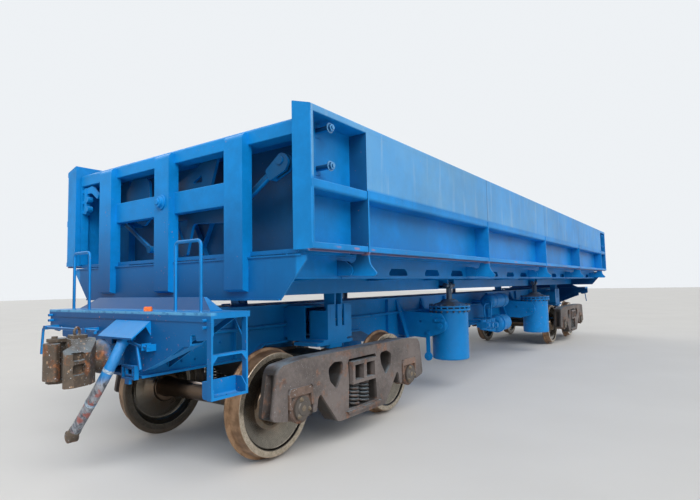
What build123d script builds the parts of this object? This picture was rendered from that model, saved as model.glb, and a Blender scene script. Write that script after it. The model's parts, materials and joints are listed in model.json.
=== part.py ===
"""Air-operated side dump wagon for standard gauge.

X runs along the wagon (front end at -X), -Y is the left side, +Z is up.
The origin is on the centre line, level with the bottom of the wheel flanges.
Lengths are millimetres.  Each piece is written to its own STEP file in parts/.
"""
import os
from math import cos, radians, sin, tan

from build123d import *

# Wheels, axles and bogies
TREAD_DIAMETER = 840.0
FLANGE_HEIGHT = 27.0
WHEEL_WIDTH = 135.0
BACK_TO_BACK = 1353.0
RIM_THICKNESS = 62.0
WEB_THICKNESS = 24.0
HUB_RADIUS = 132.0
HUB_LENGTH = 178.0
AXLE_LENGTH = 2196.0
AXLE_BODY_RADIUS = 87.0
WHEEL_SEAT_RADIUS = 97.0
JOURNAL_RADIUS = 65.0
JOURNAL_CENTRES = 1981.0
WHEELBASE = 1750.0
BOGIE_CENTRES = 8910.0
BEARING_RADIUS = 115.0
BEARING_WIDTH = 152.0
AXLE_CAP_RADIUS = 92.0
AXLE_CAP_THICKNESS = 24.0

# Cast side frame
FRAME_THICKNESS = 150.0
FRAME_TOP_Z = 822.0
FRAME_BOTTOM_Z = 228.0
FRAME_HALF_LENGTH = 1150.0
PEDESTAL_BOTTOM_Z = 372.0
FRAME_JAW_TOP_Z = 610.0
PEDESTAL_JAW_WIDTH = 300.0
BOLSTER_WINDOW_WIDTH = 470.0
BOLSTER_WINDOW_TOP_Z = 738.0
SHOE_GAP = 9.0
BRAKE_BEAM_Z = 400.0
SPRING_SEAT_Z = 300.0
SPRING_HEIGHT = 214.0
SPRING_RADIUS = 72.0
SPRING_WIRE = 26.0

# Bogie bolster and side bearings
BOLSTER_WIDTH = 430.0
BOLSTER_END_HEIGHT = 198.0
BOLSTER_MIDDLE_DROP = 90.0
BOLSTER_HALF_LENGTH = 1095.0
CENTRE_BOWL_RADIUS = 178.0
CENTRE_PLATE_RADIUS = 150.0
CENTRE_PLATE_GAP = 0.3
SIDE_BEARING_Y = 700.0
SIDE_BEARING_GAP = 10.0

# Centre sill and body bolster
SILL_TOP_Z = 1222.0
SILL_END_BOTTOM_Z = 850.0
SILL_MIDDLE_BOTTOM_Z = 660.0
DRAFT_SILL_BOTTOM_Z = 745.0
DRAFT_SILL_X = 5150.0
DRAFT_SILL_SLOPE = 200.0
SILL_WEB_Y = 250.0
SILL_WEB_THICKNESS = 14.0
SILL_FLANGE_THICKNESS = 18.0
SILL_FLANGE_OVERHANG = 46.0
SILL_BEND_OUTER_X = 3350.0
SILL_BEND_INNER_X = 2850.0
BODY_BOLSTER_WIDTH = 380.0

# End platform
END_FACE_X = 6225.0
PLATFORM_HALF_WIDTH = 1100.0
DECK_THICKNESS = 12.0
DECK_DEPTH = 330.0
END_PLATE_THICKNESS = 14.0
DECK_LIP_HEIGHT = 60.0
DECK_SIDE_HEIGHT = 40.0
UPSTAND_HEIGHT = 96.0
UPSTAND_HALF_WIDTH = 890.0
HOOD_Y = (-430.0, 20.0)

# Tipping pivots
PIVOT_Y = 675.0
PIVOT_Z = 1035.0
PIVOT_X = 4380.0
PIVOT_PIN_RADIUS = 35.0
PIVOT_PIN_LENGTH = 300.0
SUPPORT_WIDTH = 386.0
SUPPORT_OUTER_Y = 757.0
SUPPORT_INNER_Y = 530.0
SUPPORT_TOP_Z = 1216.0
SUPPORT_BOTTOM_Z = 887.0
SUPPORT_PLATE = 16.0
HOOK_SPACING = 109.0
HOOK_THICKNESS = 26.0
HOOK_RADIUS = 54.0

# Tipping cylinders
CYLINDER_X = 2050.0
CYLINDER_Y = 866.0
BARREL_RADIUS = 240.0
BARREL_WALL = 12.0
BARREL_TOP_Z = 1103.0
BARREL_BOTTOM_Z = 396.0
BARREL_FLANGE_RADIUS = 272.0
TRUNNION_Z = 850.0
TRUNNION_RADIUS = 38.0
STAGE_RADIUS = 78.0
STAGE_WALL = 12.0
ROD_RADIUS = 38.0
ROD_CLEARANCE = 1.0
CROSSHEAD_Z = 1370.0
CROSSHEAD_RADIUS = 32.0
CROSSHEAD_LENGTH = 260.0
SEAT_OUTER_REACH = 36.0

# Tipping body
BODY_END_SETBACK = 45.0
FLOOR_TOP_Z = 1655.0
FLOOR_THICKNESS = 30.0
FLOOR_HALF_WIDTH = 1452.0
GIRDER_Y = 700.0
GIRDER_WIDTH = 190.0
GIRDER_BOTTOM_Z = 1322.0
GIRDER_PLATE = 16.0
STRINGER_SETBACK = 102.0
STRINGER_BOTTOM_Z = 1462.0
STRINGER_CUTS = (290.0, 940.0, 1650.0, 2290.0, 2880.0, 3530.0, 4240.0, 4860.0)
CROSSBEAM_WEB = 16.0
CROSSBEAM_BOTTOM_Z = 1436.0
CROSSBEAM_FLANGE = 110.0
POCKET_WIDTH = 330.0
END_BEAM_OVERHANG = 83.0
END_BEAM_TAPER = 240.0
END_BEAM_TOP_Z = 1604.0
END_BEAM_BOTTOM_Z = 1300.0
END_WALL_SETBACK = 465.0
END_WALL_TOP_Z = 2540.0
WALL_PLATE = 12.0
WALL_COLUMN_DEPTH = 70.0

# End frame
POST_Y = 885.0
POST_WIDTH = 200.0
POST_PROUD = 57.0
POST_BOTTOM_Z = 1377.0
POST_TOP_Z = 2530.0
TOP_BEAM_HEIGHT = 118.0
TOP_BEAM_TOP_Z = 2570.0
TOP_BEAM_DEPTH = 130.0
MIDDLE_BEAM_BOTTOM_Z = 2022.0
MIDDLE_BEAM_TOP_Z = 2206.0
BOSS_Z = 2124.0
DOOR_GEAR_SETBACK = 225.0

# Side doors
DOOR_HALF_LENGTH = 5845.0
DOOR_GAP = 12.0
DOOR_THICKNESS = 169.0
DOOR_BOTTOM_Z = 1642.0
DOOR_TOP_INNER_Z = 2667.0
DOOR_TOP_OUTER_Z = 2615.0
DOOR_PLATE = 8.0
DOOR_MIDDLE_RAIL_Z = 2077.0
DOOR_RAIL_HEIGHT = 70.0
DOOR_BOTTOM_RAIL_HEIGHT = 45.0
DOOR_END_POST = 32.0
END_BOLT_SETBACK = 250.0
END_BOLT_Z = (2508.0, 2235.0)
RIB_PITCH = 2587.0
RIB_THICKNESS = 16.0
HINGE_SETBACK = 4.0
HINGE_Z = 1512.0
HINGE_PIN_RADIUS = 20.0
HINGE_BOSS_RADIUS = 42.0

# Couplers and air brake
COUPLER_Z = 907.0
COUPLER_REACH = 470.0
SHANK_WIDTH = 150.0
SHANK_HEIGHT = 190.0
HEAD_DEPTH_ABOVE = 150.0
HEAD_DEPTH_BELOW = 165.0
LUG_THICKNESS = 24.0
KNUCKLE_PIN_X = 62.0
KNUCKLE_PIN_Y = 118.0
KNUCKLE_PIN_RADIUS = 20.0
RESERVOIR_RADIUS = 125.0
BRAKE_CYLINDER_RADIUS = 150.0
HOSE_RADIUS = 39.0

# Steps and handrails
STEP_PROUD = 8.0
STEP_STILE_WIDTH = 44.0
STEP_STILE_THICKNESS = 14.0
STEP_BOTTOM_Z = 675.0
STEP_RUNG_Z = 950.0
STEP_LENGTH = 300.0
STEP_DEPTH = 108.0
STEP_BOX_HEIGHT = 115.0
STEP_PLATE = 8.0
HANDRAIL_RADIUS = 12.0
RUN_CLEARANCE = 0.3

AXLE_Z = TREAD_DIAMETER / 2 + FLANGE_HEIGHT
DOOR_INNER_Y = FLOOR_HALF_WIDTH + DOOR_GAP
HINGE_Y = DOOR_INNER_Y - HINGE_SETBACK
STRINGER_Y = FLOOR_HALF_WIDTH - STRINGER_SETBACK
END_BEAM_TOP_HALF_WIDTH = FLOOR_HALF_WIDTH + END_BEAM_OVERHANG
END_BEAM_BOTTOM_HALF_WIDTH = END_BEAM_TOP_HALF_WIDTH - END_BEAM_TAPER
BODY_END_X = DOOR_HALF_LENGTH - BODY_END_SETBACK
END_WALL_X = DOOR_HALF_LENGTH - END_WALL_SETBACK
DOOR_GEAR_X = DOOR_HALF_LENGTH - DOOR_GEAR_SETBACK
WHEEL_INNER_Y = BACK_TO_BACK / 2
BOGIE_X = BOGIE_CENTRES / 2
JOURNAL_Y = JOURNAL_CENTRES / 2
FLOOR_BOTTOM_Z = FLOOR_TOP_Z - FLOOR_THICKNESS
DOOR_OUTER_Y = DOOR_INNER_Y + DOOR_THICKNESS
SPRING_TOP_Z = SPRING_SEAT_Z + SPRING_HEIGHT
BOLSTER_END_TOP_Z = SPRING_TOP_Z + BOLSTER_END_HEIGHT
BOLSTER_TOP_Z = SILL_END_BOTTOM_Z - SILL_FLANGE_THICKNESS - 52.0
RIB_STATIONS = [RIB_PITCH * n for n in (-2, -1, 0, 1, 2)]
SILL_OUTER_Y = SILL_WEB_Y + SILL_WEB_THICKNESS / 2


def block(x0, x1, y0, y1, z0, z1):
    """A box between two corners, given as limits along each axis."""
    centre = ((x0 + x1) / 2, (y0 + y1) / 2, (z0 + z1) / 2)
    return Pos(*centre) * Box(abs(x1 - x0), abs(y1 - y0), abs(z1 - z0))


def bar(axis, start, end, across, radius):
    """A round bar along axis X, Y or Z; across gives its two other coordinates."""
    length = end - start
    middle = (start + end) / 2
    if axis == "X":
        return Pos(middle, across[0], across[1]) * Rot(0, 90, 0) * Cylinder(radius, length)
    if axis == "Y":
        return Pos(across[0], middle, across[1]) * Rot(90, 0, 0) * Cylinder(radius, length)
    return Pos(across[0], across[1], middle) * Cylinder(radius, length)


def plate_x(outline, x0, x1):
    """An outline of (y, z) points, thick from x0 to x1."""
    points = [(x0, y, z) for y, z in outline]
    return Solid.extrude(Face(Wire.make_polygon(points, close=True)), Vector(x1 - x0, 0, 0))


def plate_y(outline, y0, y1):
    """An outline of (x, z) points, thick from y0 to y1."""
    points = [(x, y0, z) for x, z in outline]
    return Solid.extrude(Face(Wire.make_polygon(points, close=True)), Vector(0, y1 - y0, 0))


def plate_z(outline, z0, z1):
    """An outline of (x, y) points, thick from z0 to z1."""
    points = [(x, y, z0) for x, y in outline]
    return Solid.extrude(Face(Wire.make_polygon(points, close=True)), Vector(0, 0, z1 - z0))


def rounded_wire(rows, place):
    """A closed outline from rows of (u, v, corner radius); place turns u and v into a point."""
    corners = [Vector(u, v, 0) for u, v, r in rows]
    starts, ends, arcs = [], [], []
    count = len(rows)
    for n, row in enumerate(rows):
        here, before, after = corners[n], corners[n - 1], corners[(n + 1) % count]
        a, b = before - here, after - here
        if row[2] <= 0:
            starts.append(here)
            ends.append(here)
            arcs.append(None)
            continue
        half = radians(a.get_angle(b)) / 2
        reach = min(row[2] / tan(half), 0.49 * a.length, 0.49 * b.length)
        radius = reach * tan(half)
        a, b = a.normalized(), b.normalized()
        middle = (a + b).normalized()
        starts.append(here + a * reach)
        ends.append(here + b * reach)
        arcs.append(here + middle * (radius / sin(half) - radius))
    edges = []
    for n in range(count):
        if arcs[n] is not None:
            edges.append(Edge.make_three_point_arc(place(starts[n]), place(arcs[n]), place(ends[n])))
        here, there = ends[n], starts[(n + 1) % count]
        if (there - here).length > 0.01:
            edges.append(Edge.make_line(place(here), place(there)))
    return Wire(edges)


def cast_x(rows, x0, x1):
    """Rows of (y, z, corner radius), thick from x0 to x1."""
    face = Face(rounded_wire(rows, lambda p: Vector(x0, p.X, p.Y)))
    return Solid.extrude(face, Vector(x1 - x0, 0, 0))


def cast_y(rows, y0, y1):
    """Rows of (x, z, corner radius), thick from y0 to y1."""
    face = Face(rounded_wire(rows, lambda p: Vector(p.X, y0, p.Y)))
    return Solid.extrude(face, Vector(0, y1 - y0, 0))


def cast_z(rows, z0, z1):
    """Rows of (x, y, corner radius), thick from z0 to z1."""
    face = Face(rounded_wire(rows, lambda p: Vector(p.X, p.Y, z0)))
    return Solid.extrude(face, Vector(0, 0, z1 - z0))


def turned_y(rows, x, y, z, outward):
    """Rows of (distance outwards, radius, corner radius) turned round an axis along Y."""
    face = Face(rounded_wire(rows, lambda p: Vector(x, y + outward * p.X, z + p.Y)))
    return Solid.revolve(face, 360, Axis((x, y, z), (0, 1, 0)))


def joined(pieces):
    """All pieces fused into one shape."""
    pieces = list(pieces)
    return pieces[0].fuse(*pieces[1:]) if len(pieces) > 1 else pieces[0]


def turned(shape):
    """The same shape at the other end of the wagon, turned half round."""
    return shape.rotate(Axis.Z, 180)


def flipped(shape):
    """The same shape on the other side of the wagon."""
    return shape.mirror(Plane.XZ)


def half_turn_pair(shape):
    return [shape, turned(shape)]


def revolved(profile, axis_origin, axis_direction):
    """A closed profile of 3-D points turned once round an axis."""
    face = Face(Wire.make_polygon(profile, close=True))
    return Solid.revolve(face, 360, Axis(axis_origin, axis_direction))


# Running gear

def wheel_profile():
    """Half section of a wheel: (distance outwards from its inner face, radius, corner radius)."""
    tread = TREAD_DIAMETER / 2
    rim = tread - RIM_THICKNESS
    hub_start = -(HUB_LENGTH - WHEEL_WIDTH) / 2
    hub_end = hub_start + HUB_LENGTH
    web = WEB_THICKNESS / 2
    mid_hub, mid_rim = 0.34 * WHEEL_WIDTH, 0.66 * WHEEL_WIDTH
    return [
        (hub_start, WHEEL_SEAT_RADIUS, 0), (hub_start, HUB_RADIUS, 8),
            (mid_hub - web - 26, HUB_RADIUS + 12, 26),
        (mid_hub - web + 6, HUB_RADIUS + 78, 70), (mid_rim - web, rim - 44, 40), (2.0, rim - 4, 14),
        (0.0, tread + 8, 0), (6.0, tread + FLANGE_HEIGHT, 8), (22.0, tread + FLANGE_HEIGHT, 8),
            (33.0, tread + 1, 10),
        (WHEEL_WIDTH, tread - 8, 6), (WHEEL_WIDTH, rim, 6), (mid_rim + web + 16, rim - 8, 16),
        (mid_rim + web - 4, rim - 70, 70), (mid_hub + web, HUB_RADIUS + 40, 40),
            (hub_end - 22, HUB_RADIUS + 6, 16),
        (hub_end, HUB_RADIUS - 6, 8), (hub_end, WHEEL_SEAT_RADIUS, 0),
    ]


def wheelset(x):
    """Two wheels and the axle they are pressed on, with the axle end caps."""
    half = AXLE_LENGTH / 2
    seat_end = WHEEL_INNER_Y + HUB_LENGTH
    bearing_end = JOURNAL_Y - BEARING_WIDTH / 2 - 12
    steps = [
        (0, AXLE_BODY_RADIUS - 6), (WHEEL_INNER_Y - 90, AXLE_BODY_RADIUS),
             (WHEEL_INNER_Y - 40, WHEEL_SEAT_RADIUS),
        (seat_end - 30, WHEEL_SEAT_RADIUS), (seat_end - 10, JOURNAL_RADIUS + 14),
             (bearing_end, JOURNAL_RADIUS + 14),
        (bearing_end, JOURNAL_RADIUS), (half - AXLE_CAP_THICKNESS, JOURNAL_RADIUS),
        (half - AXLE_CAP_THICKNESS, AXLE_CAP_RADIUS), (half - 8, AXLE_CAP_RADIUS),
             (half - 8, AXLE_CAP_RADIUS - 34),
        (half, AXLE_CAP_RADIUS - 40), (half, 0),
    ]
    halves, wheels = [], []
    for side in (-1, 1):
        axle_profile = [(x, 0, AXLE_Z)] + [(x, side * y, AXLE_Z + r) for y, r in steps]
        halves.append(revolved(axle_profile, (x, 0, AXLE_Z), (0, 1, 0)))
        wheels.append(turned_y(wheel_profile(), x, side * WHEEL_INNER_Y, AXLE_Z, side))
    return [joined(halves)] + wheels


def side_frame_outline():
    """Outer outline of a cast side frame: (x from the bogie centre, z, corner radius)."""
    jaw_in = WHEELBASE / 2 - PEDESTAL_JAW_WIDTH / 2
    jaw_out = WHEELBASE / 2 + PEDESTAL_JAW_WIDTH / 2
    bend = BOLSTER_WINDOW_WIDTH / 2 + 150
    half = [
        (bend, FRAME_BOTTOM_Z, 60), (jaw_in - 96, 512, 44), (jaw_in - 64, 470, 20),
        (jaw_in - 46, PEDESTAL_BOTTOM_Z + 4, 14), (jaw_in, PEDESTAL_BOTTOM_Z + 8, 10),
            (jaw_in, FRAME_JAW_TOP_Z, 22),
        (jaw_out, FRAME_JAW_TOP_Z, 22), (jaw_out, PEDESTAL_BOTTOM_Z, 10),
        (FRAME_HALF_LENGTH + 42, PEDESTAL_BOTTOM_Z + 34, 34), (FRAME_HALF_LENGTH - 22, FRAME_TOP_Z - 30, 96),
        (FRAME_HALF_LENGTH - 300, FRAME_TOP_Z, 200),
    ]
    mirrored = [(-x, z, r) for x, z, r in reversed(half)]
    return half + mirrored


def side_frames(x):
    """The two cast side frames of a bogie: hollow ends, windows, bolster opening and spring seat."""
    window = BOLSTER_WINDOW_WIDTH / 2
    top = BOLSTER_WINDOW_TOP_Z
    tear = [(window + 62, top - 4, 40), (window + 200, top + 4, 50), (window + 290, top - 40, 50),
            (window + 262, top - 150, 60), (window + 168, top - 232, 26), (window + 84, top - 110, 60)]
    pieces = []
    for side in (-1, 1):
        y_in = side * (JOURNAL_Y - FRAME_THICKNESS / 2)
        y_out = side * (JOURNAL_Y + FRAME_THICKNESS / 2)
        frame = cast_y(side_frame_outline(), y_in, y_out)
        opening = [(-window, SPRING_SEAT_Z, 12), (window, SPRING_SEAT_Z, 12),
                   (window - 14, SPRING_TOP_Z + 30, 0),
                   (window, top - 30, 0), (window - 16, top, 16), (-window + 16, top, 16),
                   (-window, top - 30, 0),
                   (-window + 14, SPRING_TOP_Z + 30, 0)]
        frame -= cast_y(opening, y_in - 10 * side, y_out + 10 * side)
        for end in (-1, 1):
            shape = [(end * tx, tz, r) for tx, tz, r in tear]
            frame -= cast_y(shape, y_in - 10 * side, y_out + 10 * side)
            groove = FRAME_THICKNESS / 2 - 34
            outer = end * (FRAME_HALF_LENGTH + 60)
            inner = end * (FRAME_HALF_LENGTH - 62)
            frame -= block(inner, outer, side * JOURNAL_Y - groove, side * JOURNAL_Y + groove,
                           PEDESTAL_BOTTOM_Z + 40,
                           FRAME_TOP_Z - 90)
        lip = plate_y([(-window - 40, SPRING_SEAT_Z - 8), (window + 40, SPRING_SEAT_Z - 8),
                       (window + 20, SPRING_SEAT_Z - 34),
                       (-window - 20, SPRING_SEAT_Z - 34)], y_out - side * 20, y_out + side * 26)
        inner_lip = plate_y([(-window - 40, SPRING_SEAT_Z), (window + 40, SPRING_SEAT_Z),
                             (window + 20, SPRING_SEAT_Z - 34),
                             (-window - 20, SPRING_SEAT_Z - 34)], y_in - side * 26, y_in + side * 20)
        pieces.append(Pos(x, 0, 0) * joined([frame, lip, inner_lip]))
    return pieces


def bogie_bolster(x):
    """The bolster: a box beam through both side frames, with centre bowl and side bearing pads."""
    end_bottom = SPRING_TOP_Z + RUN_CLEARANCE
    middle_bottom = end_bottom - BOLSTER_MIDDLE_DROP
    frame_in = JOURNAL_Y - FRAME_THICKNESS / 2 - 60
    half = [(0, middle_bottom), (frame_in - 330, middle_bottom), (frame_in - 60, end_bottom),
            (BOLSTER_HALF_LENGTH, end_bottom), (BOLSTER_HALF_LENGTH, BOLSTER_END_TOP_Z),
            (frame_in - 60, BOLSTER_END_TOP_Z), (CENTRE_BOWL_RADIUS + 60, BOLSTER_TOP_Z - 30),
            (0, BOLSTER_TOP_Z - 30)]
    outline = half + [(-y, z) for y, z in reversed(half)][1:-1]
    beam = plate_x(outline, x - BOLSTER_WIDTH / 2 + 20, x + BOLSTER_WIDTH / 2 - 20)
    for side in (-1, 1):
        for cell in (-1, 1):
            x_mid = x + cell * BOLSTER_WIDTH / 4.6
            beam -= block(x_mid - 70, x_mid + 70, side * (BOLSTER_HALF_LENGTH - 160),
                          side * (BOLSTER_HALF_LENGTH + 5),
                          end_bottom + 30, BOLSTER_END_TOP_Z - 32)
    bowl = Pos(x, 0, BOLSTER_TOP_Z - 20) * Cylinder(CENTRE_BOWL_RADIUS, 40)
    bowl -= Pos(x, 0, BOLSTER_TOP_Z) * Cylinder(CENTRE_PLATE_RADIUS + 6, 30)
    pads = [block(x - 90, x + 90, side * SIDE_BEARING_Y - 55, side * SIDE_BEARING_Y + 55,
                  BOLSTER_END_TOP_Z - 10, SIDE_BEARING_PAD_Z) for side in (-1, 1)]
    return joined([beam, bowl] + pads)


SIDE_BEARING_BLOCK_Z = 802.0
SIDE_BEARING_PAD_Z = SIDE_BEARING_BLOCK_Z - SIDE_BEARING_GAP


def springs(x):
    """Two visible coil springs on each side, drawn as stacked turns."""
    pieces = []
    turns = 5
    pitch = SPRING_HEIGHT / turns
    for side in (-1, 1):
        for along in (-1, 1):
            outline = [(0, 0)]
            for n in range(turns):
                outline += [(SPRING_RADIUS - SPRING_WIRE / 2, n * pitch), (SPRING_RADIUS, (n + 0.25) * pitch),
                            (SPRING_RADIUS, (n + 0.6) * pitch),
                            (SPRING_RADIUS - SPRING_WIRE / 2, (n + 0.85) * pitch)]
            outline += [(SPRING_RADIUS - SPRING_WIRE / 2, SPRING_HEIGHT), (0, SPRING_HEIGHT)]
            px = x + along * (SPRING_RADIUS + 8)
            py = side * JOURNAL_Y
            profile = [(px + r, py, SPRING_SEAT_Z + z) for r, z in outline]
            pieces.append(revolved(profile, (px, py, 0), (0, 0, 1)))
    return pieces


def axle_boxes(x):
    """Roller bearings with their adapters, seated in the side frame jaws."""
    pieces = []
    half_jaw = PEDESTAL_JAW_WIDTH / 2
    for end in (-1, 1):
        for side in (-1, 1):
            ax = x + end * WHEELBASE / 2
            ay = side * JOURNAL_Y
            ring = bar("Y", ay - BEARING_WIDTH / 2, ay + BEARING_WIDTH / 2, (ax, AXLE_Z), BEARING_RADIUS)
            for shift in (-1, 1):
                ring += bar("Y", ay + shift * 60 - 8, ay + shift * 60 + 8, (ax, AXLE_Z), BEARING_RADIUS + 6)
            top = FRAME_JAW_TOP_Z - RUN_CLEARANCE
            adapter = cast_y([(ax - half_jaw + 8, top - 40, 0), (ax - half_jaw + 34, top, 10),
                              (ax + half_jaw - 34, top, 10),
                              (ax + half_jaw - 8, top - 40, 0), (ax + half_jaw - 8, AXLE_Z + 10, 8),
                              (ax + half_jaw - 50, AXLE_Z - 4, 8), (ax - half_jaw + 50, AXLE_Z - 4, 8),
                              (ax - half_jaw + 8, AXLE_Z + 10, 8)], ay - 86, ay + 86)
            adapter -= block(ax - half_jaw + 30, ax + half_jaw - 30, ay + side * 60, ay + side * 100,
                             AXLE_Z - 30, AXLE_Z + BEARING_RADIUS - 18)
            body = ring + adapter
            body -= bar("Y", ay - 200, ay + 200, (ax, AXLE_Z), JOURNAL_RADIUS + RUN_CLEARANCE)
            near, far = sorted((ay + side * BEARING_WIDTH / 2, ay + side * 200))
            body -= bar("Y", near, far, (ax, AXLE_Z), AXLE_CAP_RADIUS + 6)
            pieces.append(body)
    return pieces


def brake_beams(x):
    """Beams with brake shoes between the bolster and the wheels."""
    pieces = []
    shoe_x = WHEELBASE / 2 - TREAD_DIAMETER / 2 - SHOE_GAP
    tread_y = WHEEL_INNER_Y + WHEEL_WIDTH / 2 + 10
    for end in (-1, 1):
        parts = [bar("Y", -(JOURNAL_Y - FRAME_THICKNESS / 2), JOURNAL_Y - FRAME_THICKNESS / 2,
                     (x + end * (shoe_x - 72), BRAKE_BEAM_Z), 26)]
        for side in (-1, 1):
            rows = [(x + end * (shoe_x - 96), BRAKE_BEAM_Z - 60, 10),
                    (x + end * (shoe_x - 4), BRAKE_BEAM_Z - 150, 10),
                    (x + end * (shoe_x + 6), BRAKE_BEAM_Z - 120, 0),
                    (x + end * (shoe_x - 6), BRAKE_BEAM_Z + 30, 0),
                    (x + end * (shoe_x + 6), BRAKE_BEAM_Z + 150, 10),
                    (x + end * (shoe_x - 96), BRAKE_BEAM_Z + 70, 10)]
            rows = rows if end > 0 else list(reversed(rows))
            shoe = cast_y(rows, side * tread_y - 38, side * tread_y + 38)
            shoe -= bar("Y", side * tread_y - 60, side * tread_y + 60, (x + end * WHEELBASE / 2, AXLE_Z),
                        TREAD_DIAMETER / 2 + SHOE_GAP)
            parts.append(shoe)
        pieces.append(joined(parts))
    return pieces


# Underframe

def sill_outline(lift, half_length):
    """Side outline of the sill; lift moves it in by a flange thickness from top and bottom."""
    half = [(SILL_BEND_INNER_X, SILL_MIDDLE_BOTTOM_Z + lift), (SILL_BEND_OUTER_X, SILL_END_BOTTOM_Z + lift),
            (DRAFT_SILL_X - DRAFT_SILL_SLOPE, SILL_END_BOTTOM_Z + lift),
            (DRAFT_SILL_X, DRAFT_SILL_BOTTOM_Z + lift),
            (half_length, DRAFT_SILL_BOTTOM_Z + lift), (half_length, SILL_TOP_Z - lift)]
    return half + [(-x, z) for x, z in reversed(half)]


def centre_sill():
    """The fish-bellied box sill."""
    half = END_FACE_X - END_PLATE_THICKNESS
    flange = SILL_FLANGE_THICKNESS
    outer = sill_outline(0, half)
    inner = sill_outline(flange, half + 10)
    wide = SILL_OUTER_Y + SILL_FLANGE_OVERHANG
    body = plate_y(outer, -wide, wide)
    for side in (-1, 1):
        body -= plate_y(inner, side * SILL_OUTER_Y, side * (wide + 10))
    body -= plate_y(inner, -(SILL_OUTER_Y - SILL_WEB_THICKNESS), SILL_OUTER_Y - SILL_WEB_THICKNESS)
    ribs = []
    for x in (-5300, -3750, -2700, -950, 950, 2700, 3750, 5300):
        low = DRAFT_SILL_BOTTOM_Z if abs(x) > DRAFT_SILL_X else SILL_END_BOTTOM_Z
        if abs(x) < SILL_BEND_INNER_X:
            low = SILL_MIDDLE_BOTTOM_Z
        for side in (-1, 1):
            ribs.append(block(x - 6, x + 6, side * SILL_OUTER_Y, side * (wide - 6), low + flange,
                              SILL_TOP_Z - flange))
    return joined([body] + ribs)


def body_bolster(x):
    """Box bolster between sill and tipping supports, with centre plate and side bearing blocks."""
    w = BODY_BOLSTER_WIDTH / 2
    pieces = []
    for side in (-1, 1):
        y0 = side * (SILL_OUTER_Y + SILL_FLANGE_OVERHANG)
        y1 = side * SUPPORT_INNER_Y
        box = block(x - w, x + w, y0, y1, SUPPORT_BOTTOM_Z - 20, SUPPORT_TOP_Z - 10)
        box -= block(x - w + 14, x + w - 14, y0 - 20 * side, y1 + 20 * side, SUPPORT_BOTTOM_Z,
                     SUPPORT_TOP_Z - 30)
        pieces.append(box)
        foot = block(x - 280, x + 280, y1 - side * 60, side * SUPPORT_OUTER_Y, SUPPORT_BOTTOM_Z - 52,
                     SUPPORT_BOTTOM_Z - 20)
        pieces.append(foot)
        pieces.append(block(x - 95, x + 95, side * SIDE_BEARING_Y - 60, side * SIDE_BEARING_Y + 60,
                            SIDE_BEARING_BLOCK_Z, SUPPORT_BOTTOM_Z - 38))
        pieces.append(block(x - w, x + w, y1 - side * 20, side * SUPPORT_OUTER_Y, SUPPORT_BOTTOM_Z - 22,
                            SUPPORT_BOTTOM_Z))
        web_gap = block(x - w, x + w, side * SILL_OUTER_Y, y0 + side * 5, SUPPORT_BOTTOM_Z - 20 + 30,
                        SUPPORT_TOP_Z - 30)
        pieces.append(web_gap - block(x - w + 14, x + w - 14, side * SILL_OUTER_Y - 50 * side, y0 + 30 * side,
                                      SUPPORT_BOTTOM_Z, SUPPORT_TOP_Z - 40))
    return pieces


def centre_plate(x):
    top = SILL_END_BOTTOM_Z
    plate = Pos(x, 0, (top + BOLSTER_TOP_Z - 15 + CENTRE_PLATE_GAP) / 2) * Cylinder(
        CENTRE_PLATE_RADIUS, top - (BOLSTER_TOP_Z - 15 + CENTRE_PLATE_GAP))
    return plate


def tipping_support(x, side):
    """Bracket that carries one tipping pin: slotted front plate, back plate and three saddles."""
    w = SUPPORT_WIDTH / 2
    t = SUPPORT_PLATE
    y_in = side * SUPPORT_INNER_Y
    y_out = side * SUPPORT_OUTER_Y
    z0, z1 = SUPPORT_BOTTOM_Z, SUPPORT_TOP_Z
    front = block(x - w, x + w, y_out - side * t, y_out, z0, z1)
    for cell in (-1, 1):
        slot_x = x + cell * HOOK_SPACING / 2
        front -= block(slot_x - HOOK_THICKNESS / 2 - 5, slot_x + HOOK_THICKNESS / 2 + 5,
                       y_out - side * (t + 5),
                       y_out + side * 5, PIVOT_Z - 30, z1 + 10)
    back = block(x - w, x + w, y_in, y_in + side * t, z0, z1 - 60)
    base = block(x - w, x + w, y_in, y_out, z0, z0 + t)
    pieces = [front, back, base]
    saddle_z = PIVOT_Z + 20
    for saddle_x, saddle_t in ((-w + t / 2, t), (-120, 34), (0, 34), (120, 34), (w - t / 2, t)):
        top = saddle_z if abs(saddle_x) < w - t else z1 - 60
        saddle = block(x + saddle_x - saddle_t / 2, x + saddle_x + saddle_t / 2, y_in, y_out, z0, top)
        pieces.append(saddle)
    body = joined(pieces)
    groove = bar("X", x - PIVOT_PIN_LENGTH / 2 - 2, x + PIVOT_PIN_LENGTH / 2 + 2, (side * PIVOT_Y, PIVOT_Z),
                 PIVOT_PIN_RADIUS + RUN_CLEARANCE)
    mouth = PIVOT_PIN_RADIUS + RUN_CLEARANCE
    opening = block(x - PIVOT_PIN_LENGTH / 2 - 2, x + PIVOT_PIN_LENGTH / 2 + 2, side * PIVOT_Y - mouth,
                    side * PIVOT_Y + mouth, PIVOT_Z, z1 + 20)
    front_guard = SUPPORT_OUTER_Y - t
    assert PIVOT_Y + mouth < front_guard
    return body - groove - opening


def tipping_pins(side):
    return [bar("X", end * PIVOT_X - PIVOT_PIN_LENGTH / 2, end * PIVOT_X + PIVOT_PIN_LENGTH / 2,
                (side * PIVOT_Y, PIVOT_Z), PIVOT_PIN_RADIUS) for end in (-1, 1)]


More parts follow.
